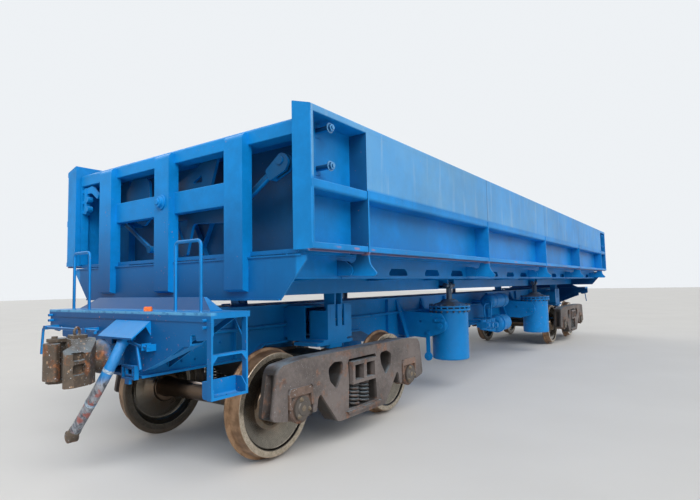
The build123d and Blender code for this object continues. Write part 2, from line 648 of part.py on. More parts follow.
def end_platform():
    """Front end platform: deck, deep end plate, side pieces, sloped upstand, hood and cross braces."""
    face = -END_FACE_X
    w = PLATFORM_HALF_WIDTH
    top = SILL_TOP_Z + DECK_THICKNESS
    t = END_PLATE_THICKNESS
    right = [(w, top, 0), (w, 1080, 8), (1010, 1052, 10), (940, 1046, 12), (928, 1090, 12), (880, 1086, 12),
             (874, 1004, 16), (800, 1004, 20), (600, 905, 30), (330, 800, 60)]
    outline = right + [(-y, z, r) for y, z, r in reversed(right)]
    end_plate = cast_x(outline, face, face + t)
    gap = 14
    end_plate -= block(face - 10, face + t + 10, -SHANK_WIDTH / 2 - gap, SHANK_WIDTH / 2 + gap,
                       COUPLER_Z - SHANK_HEIGHT / 2 - gap - 20, COUPLER_Z + SHANK_HEIGHT / 2 + gap)
    rear = face + DECK_DEPTH
    deck = plate_z([(face, -w), (face, w), (rear, w), (rear, 420), (rear + 420, 400), (rear + 420, -400),
                    (rear, -420), (rear, -w)], SILL_TOP_Z, top)
    lip = block(face - 10, face, -w, w, top - DECK_LIP_HEIGHT, top)
    pieces = [end_plate, deck, lip]
    for side in (-1, 1):
        pieces.append(block(face + t, rear, side * (w - 12), side * w, top - DECK_SIDE_HEIGHT, SILL_TOP_Z))
        brace = [(side * (w - 20), SILL_TOP_Z), (side * (w - 90), SILL_TOP_Z),
                 (side * SILL_OUTER_Y, DRAFT_SILL_BOTTOM_Z + 110),
                 (side * SILL_OUTER_Y, DRAFT_SILL_BOTTOM_Z + 40)]
        pieces.append(plate_x(brace, rear - 60, rear - 48))
        flange = [(side * SILL_OUTER_Y, DRAFT_SILL_BOTTOM_Z + 40), (side * (w - 230), 1010),
                  (side * (w - 230), 1024),
                  (side * SILL_OUTER_Y, DRAFT_SILL_BOTTOM_Z + 54)]
        pieces.append(plate_x(flange, face + t, face + 110))
        for z in (1186, 1140):
            pieces.append(bar("X", face - 42, face + 4, (side * (w - 52), z), 11))
    upstand = plate_y([(face + 150, top), (face + 262, top), (face + 262, top + UPSTAND_HEIGHT),
                       (face + 238, top + UPSTAND_HEIGHT)], -UPSTAND_HALF_WIDTH, UPSTAND_HALF_WIDTH)
    for side in (-1, 1):
        outer = side * (UPSTAND_HALF_WIDTH + 10)
        upstand -= plate_x([(outer, top + 1), (outer, top + 200),
                            (side * (UPSTAND_HALF_WIDTH - 170), top + 200),
                            (side * (UPSTAND_HALF_WIDTH - 170), top + UPSTAND_HEIGHT)], face, face + 400)
    hood = plate_y([(face, 1172), (face, 1160), (face - 150, 1046), (face - 150, 1058)], *HOOD_Y)
    pieces += [upstand, hood]
    for y in HOOD_Y:
        side = 1 if y == HOOD_Y[0] else -1
        pieces.append(plate_y([(face, 1162), (face - 40, 1130), (face, 1060)], y, y + side * 8))
    return joined(pieces)


def corner_steps():
    """Ladder at the left front corner: two flat stiles, rung, gussets and a brace up to the deck."""
    face = -END_FACE_X
    y_out = -PLATFORM_HALF_WIDTH - STEP_PROUD
    y_in = y_out + STEP_STILE_WIDTH
    t = STEP_STILE_THICKNESS
    top = SILL_TOP_Z + DECK_THICKNESS
    x_rear = face + STEP_LENGTH
    pieces = [
        block(face - t, face, y_out, y_in, STEP_BOTTOM_Z, top - DECK_LIP_HEIGHT),
        block(x_rear - t, x_rear, y_out, y_in, STEP_BOTTOM_Z, top - DECK_SIDE_HEIGHT),
        block(face - t, x_rear, y_out, y_in, STEP_RUNG_Z, STEP_RUNG_Z + t),
        plate_x([(y_in - 4, 1050), (y_in - 4, 1064), (y_in + 100, SILL_TOP_Z), (y_in + 116, SILL_TOP_Z)],
                x_rear - t, x_rear - t + 8),
    ]
    for corner, inward in ((face, 1), (x_rear - t, -1)):
        pieces.append(plate_y([(corner, STEP_RUNG_Z), (corner + inward * 40, STEP_RUNG_Z),
                               (corner, STEP_RUNG_Z - 46)],
                              y_out, y_out + STEP_PLATE))
    return joined(pieces)


def step_box():
    """Box step between the feet of the ladder: bent plate with a slot, closed by two end plates."""
    t = STEP_PLATE
    x_front = -END_FACE_X
    x_rear = x_front + STEP_LENGTH - STEP_STILE_THICKNESS
    y_out = -PLATFORM_HALF_WIDTH - STEP_PROUD
    y_in = y_out + STEP_DEPTH
    low, high = STEP_BOTTOM_Z, STEP_BOTTOM_Z + STEP_BOX_HEIGHT
    bent = cast_x([(y_out, low, 0), (y_in, low, 22), (y_in, high, 0), (y_in - t, high, 0),
                   (y_in - t, low + t, 14),
                   (y_out, low + t, 0)], x_front, x_rear)
    bent -= block(x_front + 30, x_front + 170, y_in - 52, y_in - 34, low - 5, low + 20)
    edge = block(x_front, x_rear, y_out, y_out + 6, low, low + 18)
    ends = []
    for x0, x1 in ((x_front, x_front + t), (x_rear - t, x_rear)):
        ends.append(cast_x([(y_out, low, 0), (y_in, low, 22), (y_in, high, 0),
                            (y_out + STEP_STILE_WIDTH, high, 0),
                            (y_out, low + 60, 0)], x0, x1))
    return joined([bent, edge] + ends)


def handrails():
    """Two inverted U rails on the front platform."""
    face = -END_FACE_X
    top = SILL_TOP_Z + DECK_THICKNESS
    rails = []
    for y0, y1, height in ((-955, -680, 1720), (484, 736, 1715)):
        x = face + 25
        path = FilletPolyline((x, y0, top), (x, y0, height), (x, y1, height), (x, y1, top), radius=35)
        section = Plane(origin=(x, y0, top), z_dir=(0, 0, 1)) * Circle(HANDRAIL_RADIUS)
        rails.append(sweep(section, path))
    return rails


def coupler():
    """Front coupler without its knuckle: yoke, shank, horn, head with guard arm, pin lugs and lifter ring."""
    line = -END_FACE_X - COUPLER_REACH
    z0, z1 = COUPLER_Z - SHANK_HEIGHT / 2, COUPLER_Z + SHANK_HEIGHT / 2
    inside = SILL_WEB_Y - SILL_WEB_THICKNESS / 2
    shank = block(line + 200, -END_FACE_X + 420, -SHANK_WIDTH / 2, SHANK_WIDTH / 2, z0 + 20, z1 - 20)
    yoke = block(-END_FACE_X + 380, -END_FACE_X + 560, -inside, inside, z0 + 20, z1 - 20)
    low, high = COUPLER_Z - HEAD_DEPTH_BELOW, COUPLER_Z + HEAD_DEPTH_ABOVE
    head = cast_z([(line + 250, 84, 30), (line + 160, 150, 20), (line + 120, 160, 0), (line + 116, 60, 0),
                   (line + 90, -10, 20), (line + 70, -120, 30), (line - 6, -150, 8), (line - 14, -192, 12),
                   (line + 40, -210, 30), (line + 170, -176, 40), (line + 250, -96, 30)], low, high)
    head -= plate_x([(-400, high + 1), (-400, COUPLER_Z + 60), (-176, COUPLER_Z + 60), (-80, high + 1)],
                    line - 50, line + 400)
    window_x = (line + 34, line + 128)
    for z_low, z_high in ((COUPLER_Z - 84, COUPLER_Z - 10), (COUPLER_Z + 12, COUPLER_Z + 66)):
        head -= cast_y([(window_x[0], z_low, 14), (window_x[1], z_low, 14), (window_x[1], z_high, 14),
                        (window_x[0], z_high, 14)], -240, -150)
    horn = revolved([(line + 236, 0, COUPLER_Z), (line + 236, 0, COUPLER_Z + 96),
                     (line + 330, 0, COUPLER_Z + 126),
                     (line + 352, 0, COUPLER_Z + 126), (line + 352, 0, COUPLER_Z)], (line, 0, COUPLER_Z),
                    (1, 0, 0))
    lug = [(line + 150, 60), (line + 150, 160), (line + 60, 170), (line + 20, 150), (line + 16, 90),
           (line + 60, 60)]
    lugs = [plate_z(lug, low, low + LUG_THICKNESS), plate_z(lug, high - LUG_THICKNESS, high)]
    pin = bar("Z", low, high + 16, (line + KNUCKLE_PIN_X, KNUCKLE_PIN_Y), KNUCKLE_PIN_RADIUS)
    cap = cast_z([(line + 90, -70, 20), (line + 210, -70, 20), (line + 210, 60, 20), (line + 120, 60, 20)],
                 high, high + 24)
    ring = Pos(line + 150, -20, high + 46) * Rot(90, 30, 0) * Torus(30, 9)
    return joined([shank, yoke, head, horn, pin, cap, ring] + lugs)


def uncoupling_rod():
    """Lever across the front end that lifts the coupler's lock, with its two brackets."""
    face = -END_FACE_X
    x, z = face - 96, COUPLER_Z + 178
    path = FilletPolyline((x - 60, 40, z - 6), (x, 120, z), (x, 1010, z), (x, 1040, z - 230), radius=30)
    section = Plane(origin=(x - 60, 40, z - 6), z_dir=(60, 80, 6)) * Circle(11)
    rod = sweep(section, path)
    brackets = [block(face, x - 16, y - 22, y + 22, z - 16, z + 16) for y in (300, 960)]
    return joined([rod] + brackets)


def knuckle():
    """The swinging jaw of the front coupler, between the pin lugs."""
    line = -END_FACE_X - COUPLER_REACH
    z0 = COUPLER_Z - HEAD_DEPTH_BELOW + LUG_THICKNESS + 5
    z1 = COUPLER_Z + HEAD_DEPTH_ABOVE - LUG_THICKNESS - 5
    centre = (line + KNUCKLE_PIN_X, KNUCKLE_PIN_Y)
    jaw = cast_z([(line + 68, 76, 0), (line + 52, 5, 16), (line + 12, -14, 16), (line - 14, 20, 20),
                  (line - 26, 90, 30),
                  (line - 8, 140, 30), (line + 34, 154, 0)], z0, z1)
    jaw += bar("Z", z0, z1, centre, 44)
    return jaw - bar("Z", z0 - 5, z1 + 5, centre, KNUCKLE_PIN_RADIUS + RUN_CLEARANCE)


def cylinder_carriers():
    """Plates on the sill that hold the trunnions of the four tipping cylinders, with a sloped brace."""
    pieces = []
    x_in = BARREL_RADIUS + 54
    thickness = 26
    for end in (-1, 1):
        for side in (-1, 1):
            for ear in (-1, 1):
                x0 = end * CYLINDER_X + ear * x_in
                rows = [(SILL_OUTER_Y, 1150, 0), (SILL_OUTER_Y + 90, 1030, 40), (CYLINDER_Y + 20, 1010, 40),
                        (CYLINDER_Y + 70, 930, 40), (CYLINDER_Y + 70, TRUNNION_Z - 60, 40),
                        (CYLINDER_Y - 30, TRUNNION_Z - 110, 40), (CYLINDER_Y - 200, 690, 30),
                        (SILL_OUTER_Y, 720, 0)]
                rows = [(side * y, z, r) for y, z, r in rows]
                plate = cast_x(rows if side > 0 else list(reversed(rows)), x0, x0 + ear * thickness)
                hole = sorted((x0 - ear * 5, x0 + ear * (thickness + 5)))
                plate -= bar("X", hole[0], hole[1], (side * CYLINDER_Y, TRUNNION_Z),
                             TRUNNION_RADIUS + RUN_CLEARANCE)
                plate -= bar("X", hole[0], hole[1], (side * 590, 905), 18)
                brace = plate_x([(side * SILL_OUTER_Y, 1190), (side * (SILL_OUTER_Y + 12), 1190),
                                 (side * 420, 690),
                                 (side * 408, 690), (side * SILL_OUTER_Y, 1140)], x0 + ear * thickness,
                                x0 + ear * (thickness + 70))
                pieces.append(joined([plate, brace]))
    return pieces


def barrel(x, y):
    """Cylinder barrel with double flange, dished cover, gland, trunnions and rounded foot."""
    z0, z1 = BARREL_BOTTOM_Z, BARREL_TOP_Z
    r, flange, bore = BARREL_RADIUS, BARREL_FLANGE_RADIUS, STAGE_RADIUS + ROD_CLEARANCE
    wall = r - BARREL_WALL
    rows = [(0, z0 + 12, 0), (r - 60, z0, 60), (r, z0 + 6, 24), (r, z1 - 66, 0), (flange, z1 - 66, 3),
            (flange, z1 - 42, 3),
            (r + 8, z1 - 42, 0), (r + 8, z1 - 20, 0), (flange, z1 - 20, 3), (flange, z1, 3),
            (flange - 26, z1, 0),
            (flange - 40, z1 + 8, 8), (118, z1 + 46, 20), (104, z1 + 72, 6), (bore, z1 + 72, 0),
            (bore, z1 - 24, 0),
            (wall, z1 - 24, 0), (wall, z0 + BARREL_WALL + 8, 20), (0, z0 + BARREL_WALL + 12, 0)]
    face = Face(rounded_wire(rows, lambda p: Vector(x + p.X, y, p.Y)))
    body = Solid.revolve(face, 360, Axis((x, y, 0), (0, 0, 1)))
    ears = bar("X", x - r - 95, x + r + 95, (y, TRUNNION_Z), TRUNNION_RADIUS)
    ears += bar("X", x - r - 40, x + r + 40, (y, TRUNNION_Z), TRUNNION_RADIUS + 34)
    ears -= bar("Z", z0, z1, (x, y), wall + 4)
    body += ears
    side = 1 if y > 0 else -1
    for angle in (40, 220):
        a = radians(angle)
        body += bar("Z", z1 - 64, z1 - 2, (x + (flange - 4) * cos(a), y + side * (flange - 4) * sin(a)), 24)
    return body


def stage_tube(x, y):
    """Outer telescopic tube."""
    z0, z1 = BARREL_BOTTOM_Z + BARREL_WALL + 30, BARREL_TOP_Z + 82
    tube = bar("Z", z0, z1, (x, y), STAGE_RADIUS)
    foot = bar("Z", z0, z0 + 40, (x, y), BARREL_RADIUS - BARREL_WALL - ROD_CLEARANCE)
    body = tube + foot
    body -= bar("Z", z0 + 12, z1 - 30, (x, y), STAGE_RADIUS - STAGE_WALL)
    body -= bar("Z", z1 - 40, z1 + 10, (x, y), ROD_RADIUS + ROD_CLEARANCE)
    return body


def piston_rod(x, y):
    """Inner rod with its crosshead."""
    z0 = BARREL_BOTTOM_Z + BARREL_WALL + 60
    rod = bar("Z", z0, CROSSHEAD_Z, (x, y), ROD_RADIUS)
    piston = bar("Z", z0, z0 + 34, (x, y), STAGE_RADIUS - STAGE_WALL - ROD_CLEARANCE)
    head = bar("X", x - CROSSHEAD_LENGTH / 2, x + CROSSHEAD_LENGTH / 2, (y, CROSSHEAD_Z), CROSSHEAD_RADIUS)
    eye = bar("X", x - 42, x + 42, (y, CROSSHEAD_Z), CROSSHEAD_RADIUS + 16)
    return joined([rod, piston, head, eye])


# Air brake gear

def tank(cx, cy, cz, radius, half):
    """Reservoir with domed ends, lying along X."""
    rows = [(cx - half, cz, 0), (cx - half, cz + radius * 0.6, 0), (cx - half + 26, cz + radius, 50),
            (cx + half - 26, cz + radius, 50), (cx + half, cz + radius * 0.6, 0), (cx + half, cz, 0)]
    face = Face(rounded_wire(rows, lambda p: Vector(p.X, cy, p.Y)))
    return Solid.revolve(face, 360, Axis((cx, cy, cz), (1, 0, 0)))


def reservoirs():
    """Reservoirs under the middle of the wagon, on brackets from the sill."""
    pieces = []
    table = (  # centre x, y, z, radius, half length
        (520, -590, 1072, RESERVOIR_RADIUS, 420),
        (-150, 620, 960, 190, 720),
    )
    for cx, cy, cz, radius, half in table:
        side = 1 if cy > 0 else -1
        body = tank(cx, cy, cz, radius, half)
        bands = [bar("X", cx + d - 14, cx + d + 14, (cy, cz), radius + 6) for d in (-half / 2, half / 2)]
        straps = [block(cx + d - 25, cx + d + 25, side * SILL_OUTER_Y, cy, cz - 20,
                        cz + 20) for d in (-half / 2, half / 2)]
        pieces.append(joined([body] + bands + straps))
    return pieces


def brake_cylinder():
    """Brake cylinder and the valves beside it, joined by a gooseneck pipe to the upper reservoir."""
    cx, cy, cz = 420, -700, 690
    body = tank(cx, cy, cz, BRAKE_CYLINDER_RADIUS - 14, 250)
    cap = bar("X", cx - 190, cx - 160, (cy, cz), BRAKE_CYLINDER_RADIUS + 6)
    bracket = block(cx - 120, cx + 120, -SILL_OUTER_Y, cy, cz + 60, cz + 84)
    parts = [body, cap, bracket]
    valves = (  # x, y, z, radius, half height, half box
        (-20, -700, 690, 62, 110, 60),
        (-210, -690, 700, 70, 90, 66),
        (-390, -690, 715, 54, 80, 52),
    )
    for vx, vy, vz, radius, half, box in valves:
        parts.append(bar("Z", vz - half, vz + half, (vx, vy), radius))
        parts.append(block(vx - box, vx + box, vy - 84, vy + 84, vz - 46, vz + 40))
        parts.append(bar("Y", vy - 112, vy + 60, (vx, vz - 4), radius * 0.62))
    parts.append(bar("X", -440, cx - 200, (-690, 676), 24))
    parts.append(block(-250, -170, -690, -SILL_OUTER_Y, 744, 772))
    pipe = FilletPolyline((100, -590, 1100), (30, -590, 1100), (30, -700, 1080), (-40, -700, 860),
                          (-40, -700, 780), radius=45)
    section = Plane(origin=(100, -590, 1100), z_dir=(-1, 0, 0)) * Circle(14)
    parts.append(sweep(section, pipe))
    return joined(parts)


# Tipping body

def floor_plate():
    """Flat floor plate of the load space."""
    return block(-BODY_END_X + 20, BODY_END_X - 20, -FLOOR_HALF_WIDTH, FLOOR_HALF_WIDTH, FLOOR_BOTTOM_Z,
                 FLOOR_TOP_Z)


def crossbeam(x, flange_side=0):
    """Tapered I beam across the body; beams beside a cylinder pocket carry their flange on one side only."""
    top = FLOOR_BOTTOM_Z
    inner = GIRDER_Y + GIRDER_WIDTH / 2
    low_in, low_out = CROSSBEAM_BOTTOM_Z, STRINGER_BOTTOM_Z
    half = [(0, GIRDER_BOTTOM_Z + 40), (inner, GIRDER_BOTTOM_Z + 40), (inner, low_in), (STRINGER_Y, low_out),
            (STRINGER_Y, top), (0, top)]
    web_outline = half + [(-y, z) for y, z in reversed(half)][1:-1]
    pieces = [plate_x(web_outline, x - CROSSBEAM_WEB / 2, x + CROSSBEAM_WEB / 2)]
    x0 = x - (CROSSBEAM_FLANGE / 2 if flange_side <= 0 else CROSSBEAM_WEB / 2)
    x1 = x + (CROSSBEAM_FLANGE / 2 if flange_side >= 0 else CROSSBEAM_WEB / 2)
    for side in (-1, 1):
        flange = [(side * inner, low_in), (side * STRINGER_Y, low_out), (side * STRINGER_Y, low_out + 12),
                  (side * inner, low_in + 12)]
        pieces.append(plate_x(flange, x0, x1))
    return pieces


def girder(side):
    """Longitudinal box girder over the tipping supports, open at the cylinder pockets."""
    y0 = side * (GIRDER_Y - GIRDER_WIDTH / 2)
    y1 = side * (GIRDER_Y + GIRDER_WIDTH / 2)
    t = GIRDER_PLATE
    pieces = []
    gap = POCKET_WIDTH / 2
    limits = [(-BODY_END_X + 20, -CYLINDER_X - gap), (-CYLINDER_X + gap, CYLINDER_X - gap),
              (CYLINDER_X + gap, BODY_END_X - 20)]
    for x0, x1 in limits:
        box = block(x0, x1, y0, y1, GIRDER_BOTTOM_Z, FLOOR_BOTTOM_Z)
        box -= block(x0 - 5, x1 + 5, y0 + side * t, y1 - side * t, GIRDER_BOTTOM_Z + t, FLOOR_BOTTOM_Z - t)
        pieces.append(box)
    return pieces


def stringer(side):
    """Edge member under the floor: web with cut-outs beside the ribs, flange and sloped lip."""
    y = side * STRINGER_Y
    end = BODY_END_X - 20
    web = block(-end, end, y, y - side * 12, STRINGER_BOTTOM_Z, FLOOR_BOTTOM_Z)
    flange = block(-end, end, y + side * 10, y - side * 50, STRINGER_BOTTOM_Z - 12, STRINGER_BOTTOM_Z)
    lip = plate_x([(side * (FLOOR_HALF_WIDTH - 6), FLOOR_BOTTOM_Z),
                   (side * (FLOOR_HALF_WIDTH - 22), FLOOR_BOTTOM_Z),
                   (y - side * 2, FLOOR_BOTTOM_Z - 72), (y - side * 2, FLOOR_BOTTOM_Z - 60)], -end, end)
    body = joined([web, flange, lip])
    for centre in STRINGER_CUTS:
        for mirror in (-1, 1):
            x = centre * mirror
            rows = [(x - 200, STRINGER_BOTTOM_Z + 14, 20), (x + 200, STRINGER_BOTTOM_Z + 14, 20),
                    (x + 130, FLOOR_BOTTOM_Z - 84, 20), (x - 130, FLOOR_BOTTOM_Z - 84, 20)]
            body -= cast_y(rows, y - 40, y + 40)
    for station in RIB_STATIONS:
        body -= block(station - RIB_THICKNESS / 2 - 8, station + RIB_THICKNESS / 2 + 8,
                      side * (STRINGER_Y + 2), side * 1600,
                      STRINGER_BOTTOM_Z - 40, FLOOR_BOTTOM_Z)
    return body


def hinge_lugs(side):
    """Pairs of ears with a pin for each door rib."""
    pieces = []
    for station in RIB_STATIONS:
        for ear in (-1, 1):
            x0 = station + ear * (RIB_THICKNESS / 2 + 6)
            outline = [(side * (STRINGER_Y - 10), HINGE_Z - 40), (side * (HINGE_Y + 20), HINGE_Z - 40),
                       (side * (HINGE_Y + 36), HINGE_Z - 10), (side * (HINGE_Y + 30), HINGE_Z + 25),
                       (side * (HINGE_Y - 30), HINGE_Z + 70), (side * (STRINGER_Y - 10), HINGE_Z + 80)]
            pieces.append(plate_x(outline, x0, x0 + ear * 18))
        reach = RIB_THICKNESS / 2 + 26
        pieces.append(bar("X", station - reach, station + reach, (side * HINGE_Y, HINGE_Z), HINGE_PIN_RADIUS))
    return pieces


def pivot_hooks(side):
    """Open hooks that rest on the tipping pins."""
    pieces = []
    for end in (-1, 1):
        for cell in (-1, 1):
            x = end * PIVOT_X + cell * HOOK_SPACING / 2
            shank = plate_x([(side * (PIVOT_Y - HOOK_RADIUS), PIVOT_Z),
                             (side * (PIVOT_Y + HOOK_RADIUS), PIVOT_Z),
                             (side * (PIVOT_Y + HOOK_RADIUS + 18), GIRDER_BOTTOM_Z + 10),
                             (side * (PIVOT_Y - HOOK_RADIUS - 10), GIRDER_BOTTOM_Z + 10)],
                            x - HOOK_THICKNESS / 2, x + HOOK_THICKNESS / 2)
            eye = bar("X", x - HOOK_THICKNESS / 2, x + HOOK_THICKNESS / 2, (side * PIVOT_Y, PIVOT_Z),
                      HOOK_RADIUS)
            hook = shank + eye
            throat = PIVOT_PIN_RADIUS + RUN_CLEARANCE
            hook -= bar("X", x - HOOK_THICKNESS, x + HOOK_THICKNESS, (side * PIVOT_Y, PIVOT_Z), throat)
            hook -= block(x - HOOK_THICKNESS, x + HOOK_THICKNESS, side * PIVOT_Y - throat,
                          side * PIVOT_Y + throat,
                          PIVOT_Z - HOOK_RADIUS - 10, PIVOT_Z)
            hook -= block(x - HOOK_THICKNESS, x + HOOK_THICKNESS, side * PIVOT_Y - 100, side * PIVOT_Y + 100,
                          PIVOT_Z - HOOK_RADIUS - 10, PIVOT_Z - 22)
            pieces.append(hook)
    return pieces


def crosshead_seats(side):
    """Seats over the cylinder crossheads, curved about the tipping axis of their own side."""
    pieces = []
    offset_y = CYLINDER_Y - PIVOT_Y
    offset_z = CROSSHEAD_Z - PIVOT_Z
    reach = (offset_y ** 2 + offset_z ** 2) ** 0.5 + CROSSHEAD_RADIUS + 1.0
    for end in (-1, 1):
        for cell in (-1, 1):
            x = end * CYLINDER_X + cell * (CROSSHEAD_LENGTH / 2 - 25)
            y_in, y_out = side * (CYLINDER_Y - 62), side * (CYLINDER_Y + SEAT_OUTER_REACH)
            seat = block(x - 15, x + 15, y_in, y_out, CROSSHEAD_Z - 30, FLOOR_BOTTOM_Z)
            seat -= bar("X", x - 30, x + 30, (side * PIVOT_Y, PIVOT_Z), reach)
            pieces.append(seat)
            pieces.append(block(x - 15, end * CYLINDER_X + cell * (POCKET_WIDTH / 2 + 2), y_in, y_out,
                                FLOOR_BOTTOM_Z - 90, FLOOR_BOTTOM_Z - 70) if cell > 0 else
                          block(x + 15, end * CYLINDER_X + cell * (POCKET_WIDTH / 2 + 2), y_in, y_out,
                                FLOOR_BOTTOM_Z - 90, FLOOR_BOTTOM_Z - 70))
    return pieces


def floor_frame():
    """Girders, crossbeams, stringers, hinge ears and hooks welded into one frame."""
    pieces = []
    gap = POCKET_WIDTH / 2 + CROSSBEAM_WEB / 2
    for station in RIB_STATIONS + [RIB_PITCH * n for n in (-1.5, -0.5, 0.5, 1.5)]:
        pieces += crossbeam(station)
    for end in (-1, 1):
        for pocket_side in (-1, 1):
            pieces += crossbeam(end * CYLINDER_X + pocket_side * gap, pocket_side)
    for side in (-1, 1):
        pieces += girder(side)
        pieces.append(stringer(side))
        pieces += hinge_lugs(side)
        pieces += pivot_hooks(side)
        pieces += crosshead_seats(side)
    return joined(pieces)


def end_beam():
    """Trapezoid cross member at the front end of the body."""
    x0 = -BODY_END_X
    top = [(-END_BEAM_TOP_HALF_WIDTH, END_BEAM_TOP_Z), (END_BEAM_TOP_HALF_WIDTH, END_BEAM_TOP_Z),
           (END_BEAM_TOP_HALF_WIDTH, END_BEAM_TOP_Z - 34), (END_BEAM_BOTTOM_HALF_WIDTH, END_BEAM_BOTTOM_Z),
           (-END_BEAM_BOTTOM_HALF_WIDTH, END_BEAM_BOTTOM_Z), (-END_BEAM_TOP_HALF_WIDTH, END_BEAM_TOP_Z - 34)]
    web = plate_x(top, x0, x0 + 14)
    bottom_flange = block(x0 - 12, x0 + 20 - 2, -END_BEAM_BOTTOM_HALF_WIDTH, END_BEAM_BOTTOM_HALF_WIDTH,
                          END_BEAM_BOTTOM_Z, END_BEAM_BOTTOM_Z + 12)
    top_flange = block(x0 - 12, x0 + 18, -END_BEAM_TOP_HALF_WIDTH + 40, END_BEAM_TOP_HALF_WIDTH - 40,
                       END_BEAM_TOP_Z, END_BEAM_TOP_Z + 12)
    return [web, bottom_flange, top_flange]


def end_frame():
    """Open frame at the front end: end beam, three posts, middle beam and top beam."""
    x0 = -BODY_END_X
    pieces = end_beam()
    half = DOOR_INNER_Y - 14
    top = TOP_BEAM_TOP_Z
    depth = TOP_BEAM_DEPTH
    beam = cast_y([(x0, top - TOP_BEAM_HEIGHT, 8), (x0, top, 30), (x0 + depth, top, 12),
                   (x0 + depth, top - TOP_BEAM_HEIGHT, 8)],
                  -half, half)
    pieces.append(beam)
    for y in (-POST_Y, 0, POST_Y):
        rows = [(x0 - POST_PROUD, POST_BOTTOM_Z, 6), (x0 - POST_PROUD, POST_TOP_Z + 10, 60),
                (x0 + 40, POST_TOP_Z + 10, 0),
                (x0 + 40, FLOOR_TOP_Z, 0), (x0 + 20, FLOOR_TOP_Z, 0), (x0 + 20, POST_BOTTOM_Z - 20, 0)]
        pieces.append(cast_y(rows, y - POST_WIDTH / 2, y + POST_WIDTH / 2))
    middle = [(x0, MIDDLE_BEAM_BOTTOM_Z, 8), (x0, MIDDLE_BEAM_TOP_Z, 8), (x0 + 70, MIDDLE_BEAM_TOP_Z, 0),
              (x0 + 70, MIDDLE_BEAM_BOTTOM_Z, 0)]
    pieces.append(cast_y(middle, -POST_Y, POST_Y))
    boss = turned_boss(x0 - POST_PROUD)
    for y in (-half + 8, half - 8):
        pieces.append(block(x0, x0 + 70, y - 8, y + 8, FLOOR_TOP_Z, top - TOP_BEAM_HEIGHT + 5))
    return joined(pieces + [boss])


def turned_boss(x):
    """Pin boss with its ring on the middle post."""
    rows = [(x + 4, 0, 0), (x + 4, 62, 0), (x - 14, 62, 4), (x - 14, 48, 4), (x - 40, 44, 4), (x - 40, 26, 3),
            (x - 52, 24, 4), (x - 52, 0, 0)]
    face = Face(rounded_wire(rows, lambda p: Vector(p.X, 0, BOSS_Z + p.Y)))
    return Solid.revolve(face, 360, Axis((x, 0, BOSS_Z), (1, 0, 0)))


def slanted_bar(start, end, radius):
    """A round bar between two 3-D points."""
    run = Vector(*end) - Vector(*start)
    return oriented_bar(Vector(*start), run.normalized(), run.length, radius)


def door_gear():
    """Levers and rods between end wall and end frame that work the two doors."""
    x = -DOOR_GEAR_X
    t = 13
    seat_front = -BODY_END_X + 70 + 0.2
    seat_wall = -END_WALL_X - WALL_PLATE - 0.2
    seat_column = seat_wall - WALL_COLUMN_DEPTH
    lever = cast_x([(-455, 2490, 26), (-372, 2515, 26), (150, 2300, 60), (190, 2040, 60), (40, 1680, 26),
                    (-40, 1680, 26),
                    (-130, 1950, 40), (-600, 1920, 40), (-660, 2000, 40), (-310, 2110, 60)], x - t, x + t)
    lever -= cast_x([(-110, 2300, 8), (-235, 2366, 8), (-255, 2300, 8)], x - 20, x + 20)
    lever -= cast_x([(110, 1990, 16), (0, 1760, 16), (-60, 1990, 16)], x - 20, x + 20)
    eye = (-1215, 2318)
    knee = (-640, 1965)
    rod = slanted_bar((x - 44, knee[0], knee[1]), (x - 44, -1090, 2242), 28)
    fork = cast_x([(-1235, 2395, 50), (-1300, 2300, 50), (-1262, 2242, 40), (-1105, 2180, 20),
                   (-1060, 2262, 20)], x - 78, x - 10)
    fork -= block(x - 56, x - 32, -1400, -1150, 2180, 2440)
    pins = [bar("X", x - 92, seat_column, eye, 30), bar("X", x - 84, x + 30, knee, 34),
            bar("X", seat_front, seat_wall, (-150, 2120), 42)]
    near = joined([lever, rod, fork] + pins)
    crank = cast_x([(880, 2100, 60), (900, 2330, 60), (800, 2465, 60), (520, 2440, 80), (500, 2060, 60),
                    (600, 1990, 60)],
                   x - t, x + t)
    link = slanted_bar((x + 40, 560, 1772), (x + 40, 1010, 2060), 24)
    foot = bar("X", x + 10, seat_wall, (560, 1772), 34)
    top = bar("X", x - 20, seat_wall, (1010, 2060), 34)
    far = joined([crank, link, foot, top, bar("X", seat_front, seat_wall, (640, 2120), 42),
                  slanted_bar((x + 40, 1010, 2060), (x + 6, 850, 2150), 22)])
    y_strip = DOOR_INNER_Y - 14 - 16
    bracket = cast_x([(y_strip - 84, 2165, 16), (y_strip - 40, 2165, 16), (y_strip - 40, 2430, 16),
                      (y_strip - 84, 2430, 16)],
                     -BODY_END_X + 4, -BODY_END_X + 44)
    lugs = [block(-BODY_END_X + 8, -BODY_END_X + 40, y_strip - 60, y_strip - 0.2, z - 16,
                  z + 16) for z in (2190, 2290, 2400)]
    hook = cast_x([(y_strip - 70, 2425, 20), (y_strip - 180, 2440, 40), (y_strip - 300, 2330, 40),
                   (y_strip - 280, 2296, 10),
                   (y_strip - 170, 2370, 30), (y_strip - 70, 2370, 20)], -BODY_END_X + 10, -BODY_END_X + 38)
    prongs = [bar("X", -BODY_END_X - 4, -BODY_END_X + 48, (y_strip - 100, z), 30) for z in (2215, 2310)]
    return [near, far, joined([bracket, hook] + lugs + prongs)]


